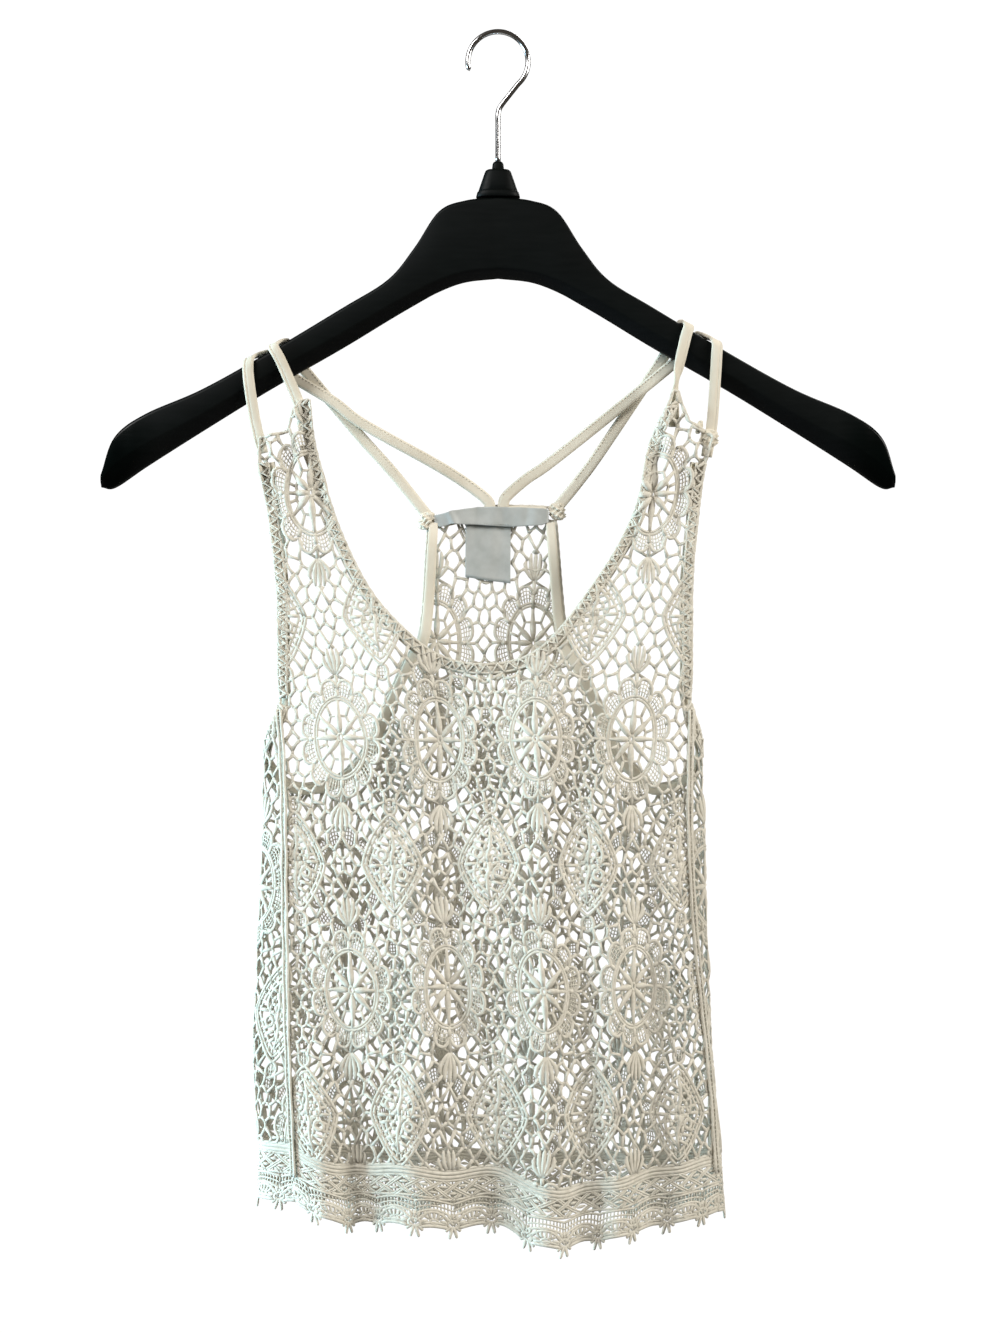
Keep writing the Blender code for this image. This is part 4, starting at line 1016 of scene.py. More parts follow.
def lay_yarn(name, sheet, yarn, finish):
    """One mesh of closed tubes that lie on the cloth. A ring's point is the strand's point, moved
    across it by half its width times cos a and out by half its thickness times sin a."""
    points, quads, places = [], [], []
    start = 0
    for (count, sides), lines in sorted_yarn(yarn).items():
        along = np.gradient(lines[..., :2], axis=1)
        along /= np.maximum(np.linalg.norm(along, axis=2, keepdims=True), 1e-6)
        angle = 2.0 * math.pi * (np.arange(sides) + 0.5) / sides
        across = lines[..., 3, None] * np.cos(angle)
        u = lines[..., 0, None] - along[..., 1, None] * across
        z = lines[..., 1, None] + along[..., 0, None] * across
        out = lines[..., 2, None] + lines[..., 4, None] * np.sin(angle)
        points.append(sheet.place(u, z, out).reshape(-1, 3))
        one = closed_faces(count, sides)
        first = start + np.arange(len(lines)) * count * sides
        quads.append((first[:, None, None] + one).reshape(-1, 4))
        start += len(lines) * count * sides
        lay = corner_places(np.arange(sides + 1) / sides, run_along(lines[..., :2])[..., None])
        ends = np.zeros((len(lines), len(one) - lay.shape[1], 4, 2))
        places.append(np.concatenate([lay, ends], 1).reshape(-1, 4, 2))
    points, quads, places = (np.concatenate(part) for part in (points, quads, places))
    return put_mesh(name, points, quads, finish, places)


def seam_ends(sheet, raise_by):
    """u at the left and the right seam, where the line above the hem by a distance meets them."""
    ends = []
    for name, inset in (("seam_left", SEAM_INSET), ("seam_right", -SEAM_INSET)):
        z = float(hem(sheet.side, 0.0)) + raise_by
        for _ in range(3):
            u = sheet.seam_u(name, z)
            z = float(hem(sheet.side, u)) + raise_by
        ends.append(u + inset)
    return ends


def side_edge(sheet, side, foot_z):
    """A panel's edge beside a side seam, from the underarm down to just above its foot."""
    inset = SEAM_INSET if side == "left" else -SEAM_INSET
    heights = np.linspace(UNDERARM_Z, foot_z, 16)[:-1]
    return [(sheet.seam_u("seam_" + side, z) + inset, z) for z in heights]


def neck_edge(sheet, parts):
    """The front's scooped neck, from the left shoulder round to the right one."""
    return smooth_route([*sheet.edge(NECKLINE, "left"), *sheet.edge(NECKLINE[::-1], "right")], parts)


def back_armhole(sheet, side):
    """The back's armhole edge, from the top of the side seam, under the arm and up to the neck."""
    turn = -1.0 if side == "left" else 1.0
    top = sheet.seam_u("seam_" + side, UNDERARM_Z) - turn * SEAM_INSET
    under = [(top - turn * along, UNDERARM_Z - down) for along, down in UNDERARM_DIP]
    return smooth_route([(top, UNDERARM_Z), *under, *sheet.edge(BACK_ARMHOLE[::-1], side)], 4)


def panel_outline(sheet):
    """A panel's cut: the shoulders and the scooped neck of the front or the narrow top of the
    back, the armholes, the sides, and the foot at the edging's top."""
    left, right = seam_ends(sheet, TRIM_HEIGHT)
    u = np.linspace(right, left, 31)
    foot = np.c_[u, hem(sheet.side, u) + TRIM_HEIGHT]
    right_side = side_edge(sheet, "right", foot[0, 1])
    left_side = side_edge(sheet, "left", foot[-1, 1])[::-1]
    if sheet.side == "back":
        top = [*sheet.line(BACK_TOP), *back_armhole(sheet, "right")[::-1]]
        rise = back_armhole(sheet, "left")
        return np.array([*top, *right_side[1:], *foot, *left_side[:-1], *rise])
    top = [*sheet.line(LEFT_SHOULDER), *neck_edge(sheet, 4), *sheet.line(RIGHT_SHOULDER)]
    fall, rise = sheet.edge(FRONT_ARMHOLE, "right"), sheet.edge(FRONT_ARMHOLE[::-1], "left")
    return np.array([*top, *fall, *right_side, *foot, *left_side, *rise])


def inset_line(points, distance):
    """A line in cloth places, moved to its left by a distance."""
    points = np.asarray(points, float)
    along = unit(np.gradient(points, axis=0))
    return points + distance * np.c_[-along[:, 1], along[:, 0]]


def even_line(line, pitch):
    """A line read again at even steps, and how far along it each of them lies."""
    run = run_along(line)
    at = np.arange(0.0, run[-1], pitch)
    return read_line(line, run, at), at


def edge_cord(outline):
    """The whipped cord along a panel's cut edge, read every 1.6 mm. Its radius is 0.85 mm and
    swells by 0.3 mm at each stitch, as the square of a sine."""
    line, at = even_line(np.concatenate([outline, outline[:2]]), 1.6)
    return strand(line, 0.85 + 0.3 * np.sin(at / 1.9 + np.sin(at / 17.0)) ** 2)


def bound_edges(sheet):
    """The edges that carry a binding, and the side of each on which the cloth lies."""
    turns = (("left", -1.0), ("right", 1.0))
    if sheet.side == "back":
        return [(back_armhole(sheet, side), turn) for side, turn in turns]
    lines = [(neck_edge(sheet, 6), -1.0)]
    for side, turn in turns:
        seam = (sheet.seam_u("seam_" + side, UNDERARM_Z), UNDERARM_Z + 1.0)
        lines.append((smooth_route([*sheet.edge(FRONT_ARMHOLE, side), seam], 6), -turn))
    return lines


def whipping(line, turn):
    """A flat tape laid along a bound edge, a cord that zigzags over it, out to the edge and
    back every 6.2 mm, and the straight cord that it turns round on the inner side."""
    line, at = even_line(line, WHIPPING_PITCH / 2)
    inner = inset_line(line, WHIPPING_WIDTH * turn)
    zigzag = np.where((np.arange(len(at)) % 2 == 0)[:, None], line, inner)
    tape = strand(inset_line(line, WHIPPING_WIDTH / 2 * turn), 2.7, -0.35, 0.18)
    return [tape, strand(zigzag, 1.0, 0.6), strand(inner, 0.8, 0.3)]


lace_repeat = [*medallion(), *shell(1.0), *shell(-1.0), *lozenge(), *net()]
for sheet in (front_sheet, back_sheet):
    outline = panel_outline(sheet)
    yarn = [*cut_lace(lace_repeat, sheet.side, outline), edge_cord(outline)]
    for line, turn in bound_edges(sheet):
        yarn += whipping(line, turn)
    panel = lay_yarn("lace_" + sheet.side, sheet, yarn, LACE_FINISH)
    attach(panel, "root")
    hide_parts(sheet.side + "_lace")


# ---------------------------------------------------------------- the hem's edging
# A narrow guipure edging sewn on round the hem: three straight cords, a bordered band of
# crossed cords, ladder arches over small fans, and a daisy with an eyelet and hanging points
# at each joint.

GAP = 0.3
TRIM_REPEAT = 23.4
PICOT_DROP = 7.0
CROSSED_LOW = 24.9
CROSSED_HIGH = 36.2
DIAMOND = (TRIM_REPEAT / 2, 7.8)
STRAIGHT_CORDS = (
    # height above the hem, radius
    (CROSSED_LOW, 0.85),
    (CROSSED_HIGH, 0.9),
    (38.0, 1.25),
    (40.2, 1.25),
    (41.4, 0.8),
)


def arch(top, fall):
    """A shallow arch between two joints of the edging: its height falls as the square of the
    way from the middle to the ends."""
    share = np.linspace(-1.0, 1.0, 11)
    return np.c_[TRIM_REPEAT / 2 * share, top - fall * share**2]


def daisy():
    """An eyelet at a joint, with ribs that fan out above it and four blunt points that hang
    below."""
    middle = (0.0, 9.9)
    yarn = [strand(loop(3.3, 2.2, 14, middle), 1.0, 0.2)]
    for degrees, reach in zip(range(-78, 79, 26), (8.0, 8.6, 7.6, 6.6, 7.6, 8.6, 8.0)):
        turn = math.radians(degrees)
        tips = [oval(step, step, turn) + middle for step in (0.6 * reach, reach)]
        yarn.append(strand([oval(3.5, 2.4, turn) + middle, *tips], (0.7, 1.15, 0.8), 0.1))
    share = np.array([0.25, 0.5, 0.75, 0.93, 1.0])[:, None]
    for degrees, reach in ((-48.0, 6.4), (-16.0, 9.0), (16.0, 8.6), (48.0, 6.4)):
        point = middle + share * oval(reach, -reach, math.radians(degrees))
        yarn.append(strand(point, (1.1, 1.2, 1.1, 1.0, 0.5), 0.1))
    return yarn


def arches():
    """Two rows of small square gaps under arches, a small eyelet with ribs over it, and two
    thick cords that close the edge between the joints."""
    lines = [arch(*rise) for rise in ((23.7, 1.6), (20.6, 2.6), (18.1, 3.8))]
    yarn = [strand(line, radius, 0.15) for line, radius in zip(lines, (0.75, 0.55, 0.85))]
    places = np.linspace(0.4, 9.6, 11)
    feet = [read_line(line, np.arange(11), places) for line in lines]
    for upper, lower in zip(feet, feet[1:]):
        yarn += [strand(tie, 0.55, sides=4) for tie in np.stack([upper, lower], 1)]
    yarn.append(strand(loop(2.6, 1.5, 12, (0.0, 11.0)), 0.85, 0.1))
    for x in (-5.2, -2.6, 0.0, 2.6, 5.2):
        top = 17.6 - 3.8 * (2.0 * x / TRIM_REPEAT) ** 2
        rib = [(0.45 * x, 12.2), (0.95 * x, 13.6), (1.15 * x, 0.5 * (top + 14.4)), (x, top)]
        yarn.append(strand(rib, (0.6, 1.05, 1.1, 0.8), 0.1))
    yarn.append(strand(arch(16.8, 7.4), 0.95, 0.25))
    for height, reach, radius in ((8.9, 8.8, 1.15), (10.9, 7.6, 0.95)):
        x = np.linspace(-reach, reach, 7)
        yarn.append(strand(np.c_[x, height - 0.9 * (x / reach) ** 2 - 0.4], radius, 0.05))
    return yarn


def crossed_band():
    """A band of rows of flat diamonds, drawn by two cords side by side along each slant, with
    a dot on a thin tie in the middle of each diamond."""
    width, height = DIAMOND
    node = (CROSSED_LOW + CROSSED_HIGH + height / 2) / 2
    z = np.linspace(CROSSED_LOW, CROSSED_HIGH, 7)
    yarn = []
    for start in (-width, 0.0):
        for way in (1.0, -1.0):
            lift = 0.15 * way * np.cos(2.0 * math.pi * (z - node) / height)
            for side in (-1.1, 1.1):
                x = start + side + way * (z - node) * width / height
                yarn.append(strand(np.c_[x, z], 0.68, lift))
        for x, rise in ((start + width / 2, node), (start, node - height / 2), (start, node + height / 2)):
            dot = [(x + step, rise) for step in (-2.6, -0.7, 0.7, 2.6)]
            yarn.append(strand(dot, (0.3, 1.0, 1.0, 0.3)))
    return yarn


def make_edging(sheet):
    """The edging's repeat set along one side of the hem and raised from the hem's line, with
    the straight cords and the crossed band's two borders carried along the whole side."""
    left, right = seam_ends(sheet, PICOT_DROP)
    count = round((right - left) / TRIM_REPEAT)
    stretch = (right - left) / count / TRIM_REPEAT
    joints = [(line, sides, 0.0) for line, sides in [*daisy(), *crossed_band()]]
    joints += [(line, sides, 0.5) for line, sides in arches()]
    yarn = []
    for line, sides, shift in joints:
        for index in range(count + 1):
            laid = line.copy()
            laid[:, 0] = left + (laid[:, 0] + (index + 0.5 - shift) * TRIM_REPEAT) * stretch
            keep = (laid[:, 0] >= left - 0.4) & (laid[:, 0] <= right + 0.4)
            if keep.sum() > 1:
                yarn.append((laid[keep], sides))
    at = np.linspace(left, right, 72)
    for height, radius in STRAIGHT_CORDS:
        yarn.append(strand(np.c_[at, np.full(72, height)], radius, 0.1, 0.5))
    for line, _ in yarn:
        line[:, 1] += hem(sheet.side, line[:, 0]) + 0.25 * np.sin(line[:, 0] / 6.3 + line[:, 1] / 9.0)
    return lay_yarn("edging_" + sheet.side, sheet, yarn, LACE_FINISH), right - left


for sheet in (front_sheet, back_sheet):
    edging, length = make_edging(sheet)
    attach(edging, "root")
    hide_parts("hem_trim_" + sheet.side)

# ---------------------------------------------------------------- the side seams
# Each side seam is covered by a raised double cord, couched down with small slanting
# stitches, from under the arm to the edging.

LACE_WALL = 2.0
SEAM_FOOT_Z = -690.0
SEAM_LIFT = LACE_WALL / 2 + GAP + 0.9

for side in ("left", "right"):
    z = np.linspace(UNDERARM_Z - 4.0, SEAM_FOOT_Z, 60)
    line = np.c_[[front_sheet.seam_u("seam_" + side, height) for height in z], z]
    cords = []
    for offset in (-1.2, 1.2):
        wave = 0.15 * np.sin(z / 5.0 + offset)
        cords.append(strand(line + np.c_[offset + wave, 0.0 * z], 0.85, SEAM_LIFT, 0.85, 8))
    height = np.arange(SEAM_FOOT_Z + 2.0, UNDERARM_Z - 5.0, 2.6)
    middle = np.interp(height, z[::-1], line[::-1, 0])
    for x, low in zip(middle, height):
        stitch = [(x - 1.5, low - 0.7), (x + 1.5, low + 0.7)]
        cords.append(strand(stitch, 0.34, SEAM_LIFT + 0.3, sides=4))
    seam = lay_yarn("seam_cord_" + side, front_sheet, cords, LACE_FINISH)
    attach(seam, "root")
    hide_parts("side_seam_" + side)

# ---------------------------------------------------------------- the jersey bindings
# Narrow cream cotton jersey, folded to a flat tube and sewn behind the cut edges of the neck
# and the armholes, so that it shows through the lace as a warm band.

BINDING_WIDTH = 6.4
BINDING_WALL = 1.6
LINING_GAP = 0.5
BINDING_IN = -(LACE_WALL / 2 + LINING_GAP + BINDING_WALL / 2)
BINDING_INSET = BINDING_WIDTH * 0.55
BINDING_TOP_SHARE = 1.2
JERSEY_WALL = 0.45
# A flat tube's section: places across its width and out from its middle, with the fold's
# pressed line near one edge.
FLAT_TUBE = (
    (0.5, 0.0),
    (0.475, 0.26),
    (0.40, 0.44),
    (0.20, 0.50),
    (0.0, 0.50),
    (-0.14, 0.48),
    (-0.20, 0.38),
    (-0.24, 0.34),
    (-0.28, 0.40),
    (-0.36, 0.46),
    (-0.47, 0.26),
    (-0.5, 0.0),
    (-0.475, -0.26),
    (-0.40, -0.44),
    (-0.20, -0.50),
    (0.05, -0.48),
    (0.25, -0.50),
    (0.42, -0.42),
)


def jersey_finish(name, shade, tint):
    """Fine cotton jersey: ribs of loops along the strip, close rows across it, soft rubbed
    fluff, and slow shading where it has been handled. It follows the strip's own map."""
    finish, add, coat = new_finish(name)
    place = add("ShaderNodeTexCoord").outputs["Object"]
    lay = add("ShaderNodeUVMap", uv_map="lay").outputs["UV"]
    split = add("ShaderNodeSeparateXYZ", Vector=lay)
    ribs, rows = (
        maths(add, "SINE", maths(add, "MULTIPLY", split.outputs[axis], 2.0 * math.pi / pitch))
        for axis, pitch in (("X", 0.62), ("Y", 0.5))
    )
    loops = maths(add, "MULTIPLY_ADD", ribs, 0.6, rows)
    height = maths(add, "MULTIPLY_ADD", loops, 0.12, noise(add, place, 900.0, 5.0, 0.7))
    coat(
        {
            "Base Color": ramp(add, noise(add, place, 38.0, 4.0), shade, tint),
            "Roughness": 0.9,
            "Normal": bump(add, height, 0.22, 0.0002),
            "Specular IOR Level": 0.2,
            "Sheen Weight": 0.15,
            "Sheen Roughness": 0.5,
        }
    )
    return finish


JERSEY_FINISH = jersey_finish("cream_jersey", (0.64, 0.585, 0.47), (0.75, 0.70, 0.585))


def laid_sections(sheet, line, out, width, wall):
    """Rings of a flat tube that lies along the cloth and bends with it."""
    rows = []
    for a, b in FLAT_TUBE:
        u, z = inset_line(line, a * width).T
        rows.append(sheet.place(u, z, np.full(len(u), out + b * wall)))
    return np.stack(rows, axis=1)


def cloth_tube(name, outer, inner, finish):
    """A tube of cloth with its real wall: rings of its outer face, the same rings of its inner
    face turned round, and a rim between them at both ends."""
    count, around = outer.shape[:2]
    half = count * around
    quads = tube_faces(count, around)
    first = np.arange(around)
    rim = np.stack([first, half + first, half + np.roll(first, -1), np.roll(first, -1)], -1)
    quads = np.concatenate([quads, quads[:, ::-1] + half, rim, rim[:, ::-1] + (count - 1) * around])
    places, girth, length = tube_places(outer)
    points = np.concatenate([outer, inner]).reshape(-1, 3)
    piece = put_mesh(name, points, quads, finish, np.concatenate([places, places[:, ::-1]]))
    return piece, (girth * MM, length * MM)


def make_binding(name, parts):
    """A binding from its stretches of line on the cloth: sheet, line, distance inwards, width."""
    faces = []
    for less in (0.0, 2.0 * JERSEY_WALL):
        made = []
        for sheet, line, inward, width in parts:
            span = math.copysign(abs(width) - less, width)
            made.append(laid_sections(sheet, line, inward, span, BINDING_WALL - less))
        faces.append(np.concatenate(made))
    return cloth_tube(name, *faces, JERSEY_FINISH)


def armhole_parts(side):
    """An armhole's stretches: down the front edge, then under the arm and up the back's edge."""
    number = 1 if side == "left" else 2
    down, turn = bound_edges(front_sheet)[number]
    edge, back_turn = bound_edges(back_sheet)[number - 1]
    top = edge[-2] + BINDING_TOP_SHARE * (edge[-1] - edge[-2])
    down = inset_line(down, turn * BINDING_INSET)[:-3]
    up = inset_line([*edge[3:-1], top], back_turn * BINDING_INSET)
    inward = BINDING_IN - 1.5 * LINING_GAP
    return [(front_sheet, down, inward, BINDING_WIDTH), (back_sheet, up, inward, -BINDING_WIDTH)]


def neck_part(sheet, line):
    """The one stretch of a neck binding, inside an edge that has the cloth on its right."""
    return [(sheet, inset_line(line, -BINDING_INSET), BINDING_IN, BINDING_WIDTH)]


for node, parts in (
    ("neck_binding_front", neck_part(front_sheet, neck_edge(front_sheet, 6)[6:-6])),
    ("neck_binding_back", neck_part(back_sheet, smooth_route(back_sheet.line(BACK_TOP), 6)[2:-2])),
    ("armhole_binding_left", armhole_parts("left")),
    ("armhole_binding_right", armhole_parts("right")),
):
    binding, flat = make_binding("jersey_" + node, parts)
    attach(binding, "root")
    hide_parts(node)

# ---------------------------------------------------------------- the straps
# Four narrow tubes of the same jersey. They are sewn into the front shoulders, pass over the
# hanger and cross behind it to the top of the back, where the inner two end in small knots.

STRAP_WIDTH = 6.8
STRAP_WALL = 2.2
STITCH_PITCH = 2.3
STITCH_SIDES = 6
STITCH_ACROSS = 2.3
STITCH_OUT = 1.05
MEET_X = -1.4
MEET_Z = -287.2
STRAPS = {
    "strap_left_outer": {
        # x, y, z, twist
        "front": ((-142.5, -8.3, -256, 0), (-147.3, -8.8, -235, 0), (-151, -8.9, -210, 0)),
        "over": (-151.0, -141.0),
        # x, y, z
        "behind": (
            (-135, 9, -202),
            (-102, 9, -222),
            (-83.4, 9, -236),
            (-42, 9, -259),
            (-24.5, 9.2, -269.5),
            (-10.8, 9.5, -279.3),
            (-5.6, 9.8, -284.6),
            (-5.0, 9.9, -289.5),
        ),
    },
    "strap_left_inner": {
        "front": ((-116.5, -8.7, -237, 0), (-122.8, -8.9, -220, 0), (-131.5, -8.8, -200, 0)),
        "over": (-136.0, -129.5),
        "behind": (
            (-124.5, 9.8, -196),
            (-115.5, 11.6, -207),
            (-86, 11.8, -242),
            (-64.5, 11.8, -266),
            (-42.6, 11.9, -293.3),
        ),
    },
    "strap_right_inner": {
        "front": (
            (106.5, -8.6, -240, 0),
            (107, -8.4, -220, 52),
            (108, -9.6, -211.5, 72),
            (109.5, -9.6, -203, 25),
            (113.5, -8.9, -186, 0),
        ),
        "over": (115.5, 111.5),
        "behind": (
            (107.5, 9.8, -184),
            (101, 11.6, -196),
            (63, 11.8, -253),
            (49, 11.8, -272),
            (35.9, 11.9, -288),
        ),
    },
    "strap_right_outer": {
        "front": ((126.2, -8.3, -258, 0), (129.6, -8.8, -237, 0), (132.3, -8.9, -198, 0)),
        "over": (132.5, 122.0),
        "behind": (
            (117, 9, -191),
            (86, 9, -217),
            (34, 9.2, -258.5),
            (17.4, 9.4, -270.1),
            (5.8, 9.6, -280.2),
            (3.5, 9.8, -284.6),
            (3.2, 9.9, -289.5),
        ),
    },
}
STRAP_TURN = (
    # share of the way across, y, height above the hanger, the way that it faces
    (0.0, -7.9, 0.6, 30),
    (0.2, -3.4, 2.6, 80),
    (0.7, 3.4, 2.6, 100),
    (1.0, 7.9, 0.6, 150),
)


def strap_route(rows):
    """A strap's middle: up the front, over the hanger's top and down behind. Each row is x, y,
    z, the way that it faces and its twist."""
    start, end = rows["over"]
    reach, top = np.array(HANGER).T[:2]
    over = []
    for share, y, above, facing in STRAP_TURN:
        x = start + share * (end - start)
        over.append((x, y, float(np.interp(abs(x), reach, top)) + above, facing, 0))
    front = [(x, y, z, 0, twist) for x, y, z, twist in rows["front"]]
    behind = [(x, y, z, 180, 0) for x, y, z in rows["behind"]]
    return smooth_route([*front, *over, *behind], 10)


def strap_frame(route):
    """The strap's path, and at each point the ways along it, across it and out of its face."""
    path = route[:, :3]
    turn, twist = np.radians(route[:, 3:]).T
    facing = unit(np.c_[np.sign(path[:, 0]) * HANGER_SLOPE * np.sin(turn), -np.cos(turn), np.sin(turn)])
    along = unit(np.gradient(path, axis=0))
    across = np.cross(along, facing)
    facing = facing * np.cos(twist)[:, None] + across * np.sin(twist)[:, None]
    across = unit(np.cross(along, facing))
    return path, along, across, np.cross(across, along)


def strap_rings(frame_of, width, wall, inner_edge):
    """The flat tube's section at each point of a path, its pressed line toward one edge."""
    path, _, across, out = frame_of
    run = np.arange(len(path))[:, None]
    rows = []
    for a, b in FLAT_TUBE:
        soft = 0.12 * np.sin(run / 6.1 + 5.0 * a) * abs(b)
        rows.append(path + inner_edge * a * width * across + (b * wall + soft) * out)
    return np.stack(rows, axis=1)


def pressed_end(rings, left):
    """Rings of an outer strap with its end cut level at one height, and pressed flat where it
    meets the other strap's end."""
    rings = rings.copy()
    rings[..., 0] = np.minimum(rings[..., 0], MEET_X) if left else np.maximum(rings[..., 0], MEET_X)
    rings[..., 2] = np.maximum(rings[..., 2], MEET_Z)
    return rings


def stitch_rows(name, frame_of, places, finish):
    """Small stitches along a strap: short lumps of four rings, drawn in at both ends. They lie
    across it by the first and out of its face by the second of each pair of places."""
    run = run_along(frame_of[0])
    at = np.arange(4.0, run[-1] - 4.0, STITCH_PITCH)
    middle, ahead, side, face = (read_line(part, run, at)[:, None, None] for part in frame_of)
    reach, thick = np.array([(-0.7, 0.1), (-0.4, 0.3), (0.4, 0.3), (0.7, 0.1)]).T[..., None]
    angle = round_turn(STITCH_SIDES)
    lumps = []
    for a, b in places:
        spot = middle + a * side + b * face + reach[..., None] * ahead
        spot = spot + (thick * np.cos(angle))[..., None] * side
        lumps.append(spot + (thick * np.sin(angle))[..., None] * face)
    lumps = np.concatenate(lumps)
    first = len(reach) * STITCH_SIDES * np.arange(len(lumps))
    quads = (first[:, None, None] + closed_faces(len(reach), STITCH_SIDES)).reshape(-1, 4)
    return put_mesh(name, lumps.reshape(-1, 3), quads, finish, np.zeros((0, 4, 2)))


def make_knot(name, centre, size, lean):
    """A strap's gathered end: rings whose radius falls off as the fourth power of the way to
    the ends, and wanders by sines of the angle and the height, so that it looks crumpled."""
    t = np.linspace(-1.0, 1.0, 33)[:, None]
    angle = round_turn(36)
    wander = 0.17 * np.sin(4.0 * angle + 7.0 * t + lean) + 0.13 * np.sin(7.0 * angle - 9.0 * t + 2.0)
    wander = wander + 0.10 * np.sin(13.0 * t + 3.0 * np.sin(2.0 * angle))
    radius = (1.0 - 0.6 * t**4) * (1.0 + wander)
    x = centre[0] + size[0] * radius * np.cos(angle) + lean * t
    y = centre[1] + size[1] * radius * np.sin(angle)
    z = centre[2] + size[2] * (t + 0.10 * np.sin(3.0 * angle + 5.0 * t) * (1.0 - t**2))
    return ring_piece(name, np.stack([x, y, z], -1), JERSEY_FINISH)


STITCH_FINISH = yarn_finish("cream_thread", (0.60, 0.54, 0.43), (0.68, 0.62, 0.51), 0.3)
for node, rows in STRAPS.items():
    route = strap_route(rows)
    lie = strap_frame(route)
    inner_edge = 1.0 if "left" in node else -1.0
    outer = strap_rings(lie, STRAP_WIDTH, STRAP_WALL, inner_edge)
    hollow = strap_rings(lie, STRAP_WIDTH - 2 * JERSEY_WALL, STRAP_WALL - 2 * JERSEY_WALL, inner_edge)
    if "outer" in node:
        outer, hollow = (pressed_end(faces, "left" in node) for faces in (outer, hollow))
    strap, flat = cloth_tube("jersey_" + node, outer, hollow, JERSEY_FINISH)
    behind = [part[60:-8] for part in lie]
    pair = [(STITCH_ACROSS * inner_edge, out) for out in (-STITCH_OUT, STITCH_OUT)]
    stitches = stitch_rows("stitches_" + node, behind, pair, STITCH_FINISH)
    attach(strap, "root")
    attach(stitches, "root")
    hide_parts(node)

KNOTS = (
    # name, middle, half sizes, lean
    ("knot_back_left", (-43.6, 11.4, -295.6), (4.4, 2.9, 5.4), 1.1),
    ("knot_back_right", (36.3, 11.4, -290.0), (4.3, 2.9, 5.2), -0.9),
    ("knot_front_right", (128.4, -9.4, -246.6), (4.2, 2.4, 5.2), -0.6),
    ("tuck_front_right", (121.8, -9.0, -240.2), (1.7, 1.4, 4.0), 1.0),
    ("tuck_front_left", (-118.2, -9.6, -239.6), (2.6, 1.6, 4.6), -0.8),
)
for name, middle, size, lean in KNOTS:
    knot = make_knot(name, middle, size, lean)
    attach(knot, "root")

# ---------------------------------------------------------------- the labels
# Two plain labels of soft grey satin inside the back of the neck: a long one along the top
# edge, sewn down with a row of small stitches, and a care label that hangs under it.

LABEL_WALL = 0.7
NECK_LABEL = (
    # share of the way across, u, top, foot
    (0.0, -32.0, -292.6, -294.8),
    (0.06, -28.0, -291.6, -299.6),
    (0.16, -20.5, -289.6, -297.4),
    (0.36, -6.0, -287.2, -298.3),
    (0.5, 5.0, -286.8, -298.8),
    (0.7, 18.0, -287.4, -299.2),
    (0.93, 34.0, -288.0, -298.6),
    (1.0, 38.2, -288.8, -297.0),
)
CARE_LABEL = (
    # share of the way across, u, top, foot
    (0.0, -12.5, -297.6, -330.0),
    (0.5, 1.5, -298.0, -332.4),
    (1.0, 15.3, -298.4, -334.0),
)
NECK_LABEL_IN = LACE_WALL / 2 + LINING_GAP + BINDING_WALL + GAP + LABEL_WALL / 2
CARE_LABEL_IN = LACE_WALL / 2 + GAP + LABEL_WALL / 2


def satin_finish():
    """Woven satin: long threads across the label that catch the light, and soft crumpling."""
    finish, add, coat = new_finish("grey_satin")
    place = add("ShaderNodeTexCoord").outputs["Object"]
    threads = add("ShaderNodeMapping", Vector=place, Scale=(0.12, 0.12, 1.0)).outputs[0]
    coat(
        {
            "Base Color": ramp(add, noise(add, place, 120.0, 3.0), (0.40, 0.42, 0.40), (0.50, 0.52, 0.50)),
            "Roughness": 0.42,
            "Normal": bump(add, noise(add, threads, 3800.0, 2.0), 0.25, 0.0001),
            "Anisotropic": 0.4,
            "Sheen Weight": 0.1,
        }
    )
    return finish


def make_label(name, sheet, outline, inward, crease, finish):
    """A label between its top and its foot line on the cloth: a grid of places, each moved in
    by a distance and by its creases, with the grid again for its other face and a rim between."""
    down, across = np.meshgrid(np.linspace(0, 1, 17), np.linspace(0, 1, 57), indexing="ij")
    at, *lines = np.array(outline).T
    u, top, foot = (np.interp(across, at, line) for line in lines)
    z = top + down * (foot - top)
    move = crease(across, down)
    faces = [sheet.place(u, z, -inward + move + half) for half in (-0.25, 0.25)]
    rows, columns = down.shape
    k, j = np.meshgrid(np.arange(rows - 1), np.arange(columns - 1), indexing="ij")
    first = (k * columns + j).reshape(-1)
    quads = np.stack([first, first + 1, first + columns + 1, first + columns], -1)
    half = rows * columns
    grid = np.arange(half).reshape(rows, columns)
    edge = np.concatenate([grid[0, :-1], grid[:-1, -1], grid[-1, :0:-1], grid[:0:-1, 0]])
    ahead = np.roll(edge, -1)
    rim = np.stack([edge, edge + half, ahead + half, ahead], -1)
    points = np.concatenate(faces).reshape(-1, 3)
    return put_mesh(name, points, np.concatenate([quads, quads[:, ::-1] + half, rim]), finish)


def neck_crease(across, down):
    """The left end folds over in a soft ridge and curls back, the right end curls as well, and
    shallow waves run down from the stitched edge."""
    fold = -1.3 * np.exp(-(((across - 0.13 - 0.05 * down) / 0.03) ** 2)) + 0.8 * np.exp(-across / 0.04)
    fold = fold + 0.7 * np.exp(-(1.0 - across) / 0.03)
    return fold + 0.3 * np.sin(9.0 * across + 1.6 * down) * down + 0.12 * np.sin(31.0 * across) * (1 - down)


def care_crease(across, down):
    """The label curls a little towards its foot."""
    return -0.9 * down**2 * (across - 0.3) + 0.18 * np.sin(6.0 * down + 2.0 * across)


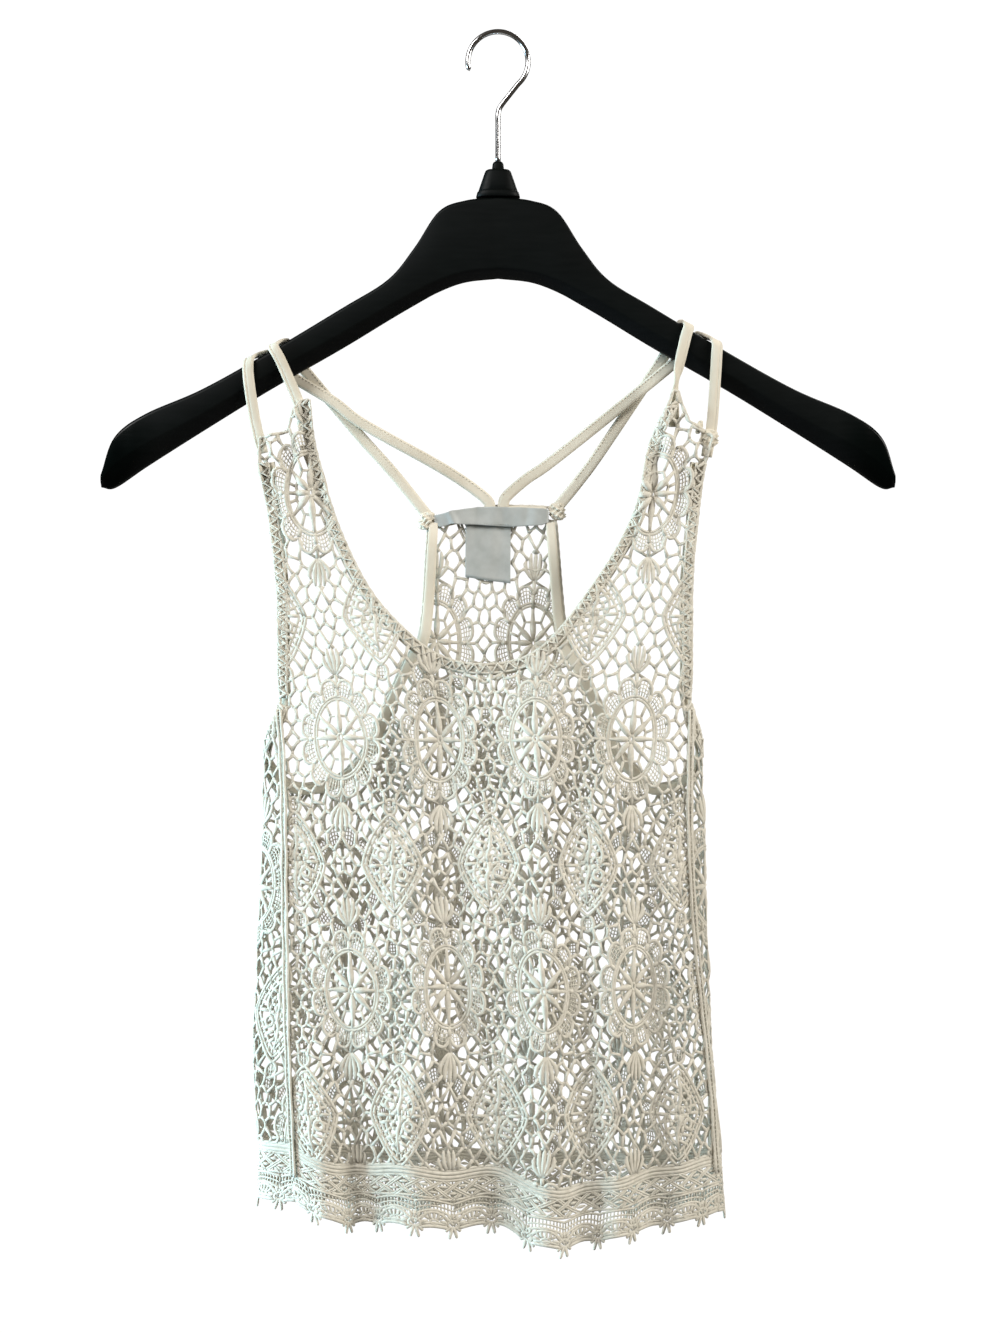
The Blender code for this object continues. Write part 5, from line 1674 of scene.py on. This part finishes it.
SATIN_FINISH = satin_finish()
neck_label = make_label("satin_neck_label", back_sheet, NECK_LABEL, NECK_LABEL_IN, neck_crease, SATIN_FINISH)
care_label = make_label("satin_care_label", back_sheet, CARE_LABEL, CARE_LABEL_IN, care_crease, SATIN_FINISH)
label_stitches = []
for x in np.arange(-11.0, 15.0, 1.5):
    line = [(x, -297.4 - 0.02 * x), (x + 0.8, -297.4 - 0.02 * x)]
    label_stitches.append(strand(line, 0.2, -NECK_LABEL_IN - 0.45, sides=4))
LABEL_THREAD = yarn_finish("grey_thread", (0.50, 0.52, 0.50), (0.60, 0.62, 0.60), 0.3)
label_seam = lay_yarn("label_stitches", back_sheet, label_stitches, LABEL_THREAD)
for piece, node in ((neck_label, "neck_label"), (care_label, "care_label")):
    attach(piece, "root")
    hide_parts(node)
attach(label_seam, "root")

# ---------------------------------------------------------------- the room
# A plain pale floor well below the hem, soft window light from the front left, a cool one from
# the left side, warmer ones from the right and from behind, and a camera straight in front at
# the height of the chest.

FLOOR_Z = -1750.0
FLOOR_REACH = 1600.0
LIGHT_SPREAD = math.radians(66.0)
CAMERA_PLACE = (0.0012, -1.4, -0.385)
SENSOR_HEIGHT = 24.0
# Half of the height that the camera takes in at the hanger, in metres.
HALF_VIEW = 0.4059


def floor_finish():
    """Plain pale paint with the faintest mottling."""
    finish, add, coat = new_finish("pale_floor")
    place = add("ShaderNodeTexCoord").outputs["Object"]
    cloud = noise(add, place, 1.2, 2.0)
    coat({"Base Color": ramp(add, cloud, (0.87, 0.86, 0.84), (0.92, 0.91, 0.89)), "Roughness": 0.8})
    return finish


def make_floor():
    """A round floor: rings of points at growing distances, level at one height."""
    reach = np.concatenate([[0.001], np.linspace(200.0, FLOOR_REACH, 12)])[:, None]
    angle = round_turn(64)
    x, y = reach * np.cos(angle), reach * np.sin(angle)
    points = np.stack([x, y, np.full(x.shape, FLOOR_Z)], -1).reshape(-1, 3)
    mesh = bpy.data.meshes.new("floor")
    mesh.from_pydata((points * MM).tolist(), [], tube_faces(*x.shape).tolist())
    mesh.materials.append(floor_finish())
    floor = bpy.data.objects.new("floor", mesh)
    bpy.context.scene.collection.objects.link(floor)
    return floor


make_floor()


def soft_light(name, place, target, size, power, colour):
    """A square soft light that looks from its place to a target, with a grid that keeps it off
    the floor."""
    light = bpy.data.lights.new(name, "AREA")
    light.size = size
    light.spread = LIGHT_SPREAD
    light.energy = power
    light.color = colour
    lamp = bpy.data.objects.new(name, light)
    lamp.location = place
    lamp.rotation_euler = (Vector(target) - Vector(place)).to_track_quat("-Z", "Y").to_euler()
    bpy.context.scene.collection.objects.link(lamp)


soft_light("window", (-1.5, -1.5, 1.1), (0.0, 0.0, -0.42), 1.1, 8.4, (0.98, 0.97, 0.96))
soft_light("left_side", (-2.3, -0.2, -0.6), (0.0, 0.0, -0.6), 0.9, 17.5, (0.56, 0.84, 1.0))
soft_light("room", (2.1, -1.0, 0.3), (0.0, 0.0, -0.47), 1.1, 9.8, (1.0, 0.975, 0.93))
soft_light("behind", (0.9, 1.8, 1.2), (0.0, 0.0, -0.35), 1.1, 3.6, (1.0, 0.99, 0.97))


def make_surroundings():
    """White where the camera sees past the top, and a weak warm glow that lights it."""
    world = bpy.data.worlds.new("studio")
    world.use_nodes = True
    nodes, links = world.node_tree.nodes, world.node_tree.links
    glow = nodes["Background"]
    glow.inputs["Color"].default_value = (1.0, 0.84, 0.66, 1.0)
    glow.inputs["Strength"].default_value = 0.05
    white = nodes.new("ShaderNodeBackground")
    white.inputs["Color"].default_value = (1.0, 1.0, 1.0, 1.0)
    white.inputs["Strength"].default_value = 1.05
    seen = nodes.new("ShaderNodeLightPath")
    mixed = nodes.new("ShaderNodeMixShader")
    links.new(seen.outputs["Is Camera Ray"], mixed.inputs["Fac"])
    links.new(glow.outputs["Background"], mixed.inputs[1])
    links.new(white.outputs["Background"], mixed.inputs[2])
    links.new(mixed.outputs["Shader"], nodes["World Output"].inputs["Surface"])
    return world


bpy.context.scene.world = make_surroundings()
bpy.context.scene.view_settings.view_transform = "Standard"

camera_data = bpy.data.cameras.new("camera")
camera_data.sensor_fit = "VERTICAL"
camera_data.sensor_height = SENSOR_HEIGHT
camera_data.lens = SENSOR_HEIGHT / 2 * -CAMERA_PLACE[1] / HALF_VIEW
camera = bpy.data.objects.new("camera", camera_data)
camera.location = CAMERA_PLACE
camera.rotation_euler = (math.radians(90.0), 0.0, 0.0)
bpy.context.scene.collection.objects.link(camera)
bpy.context.scene.camera = camera
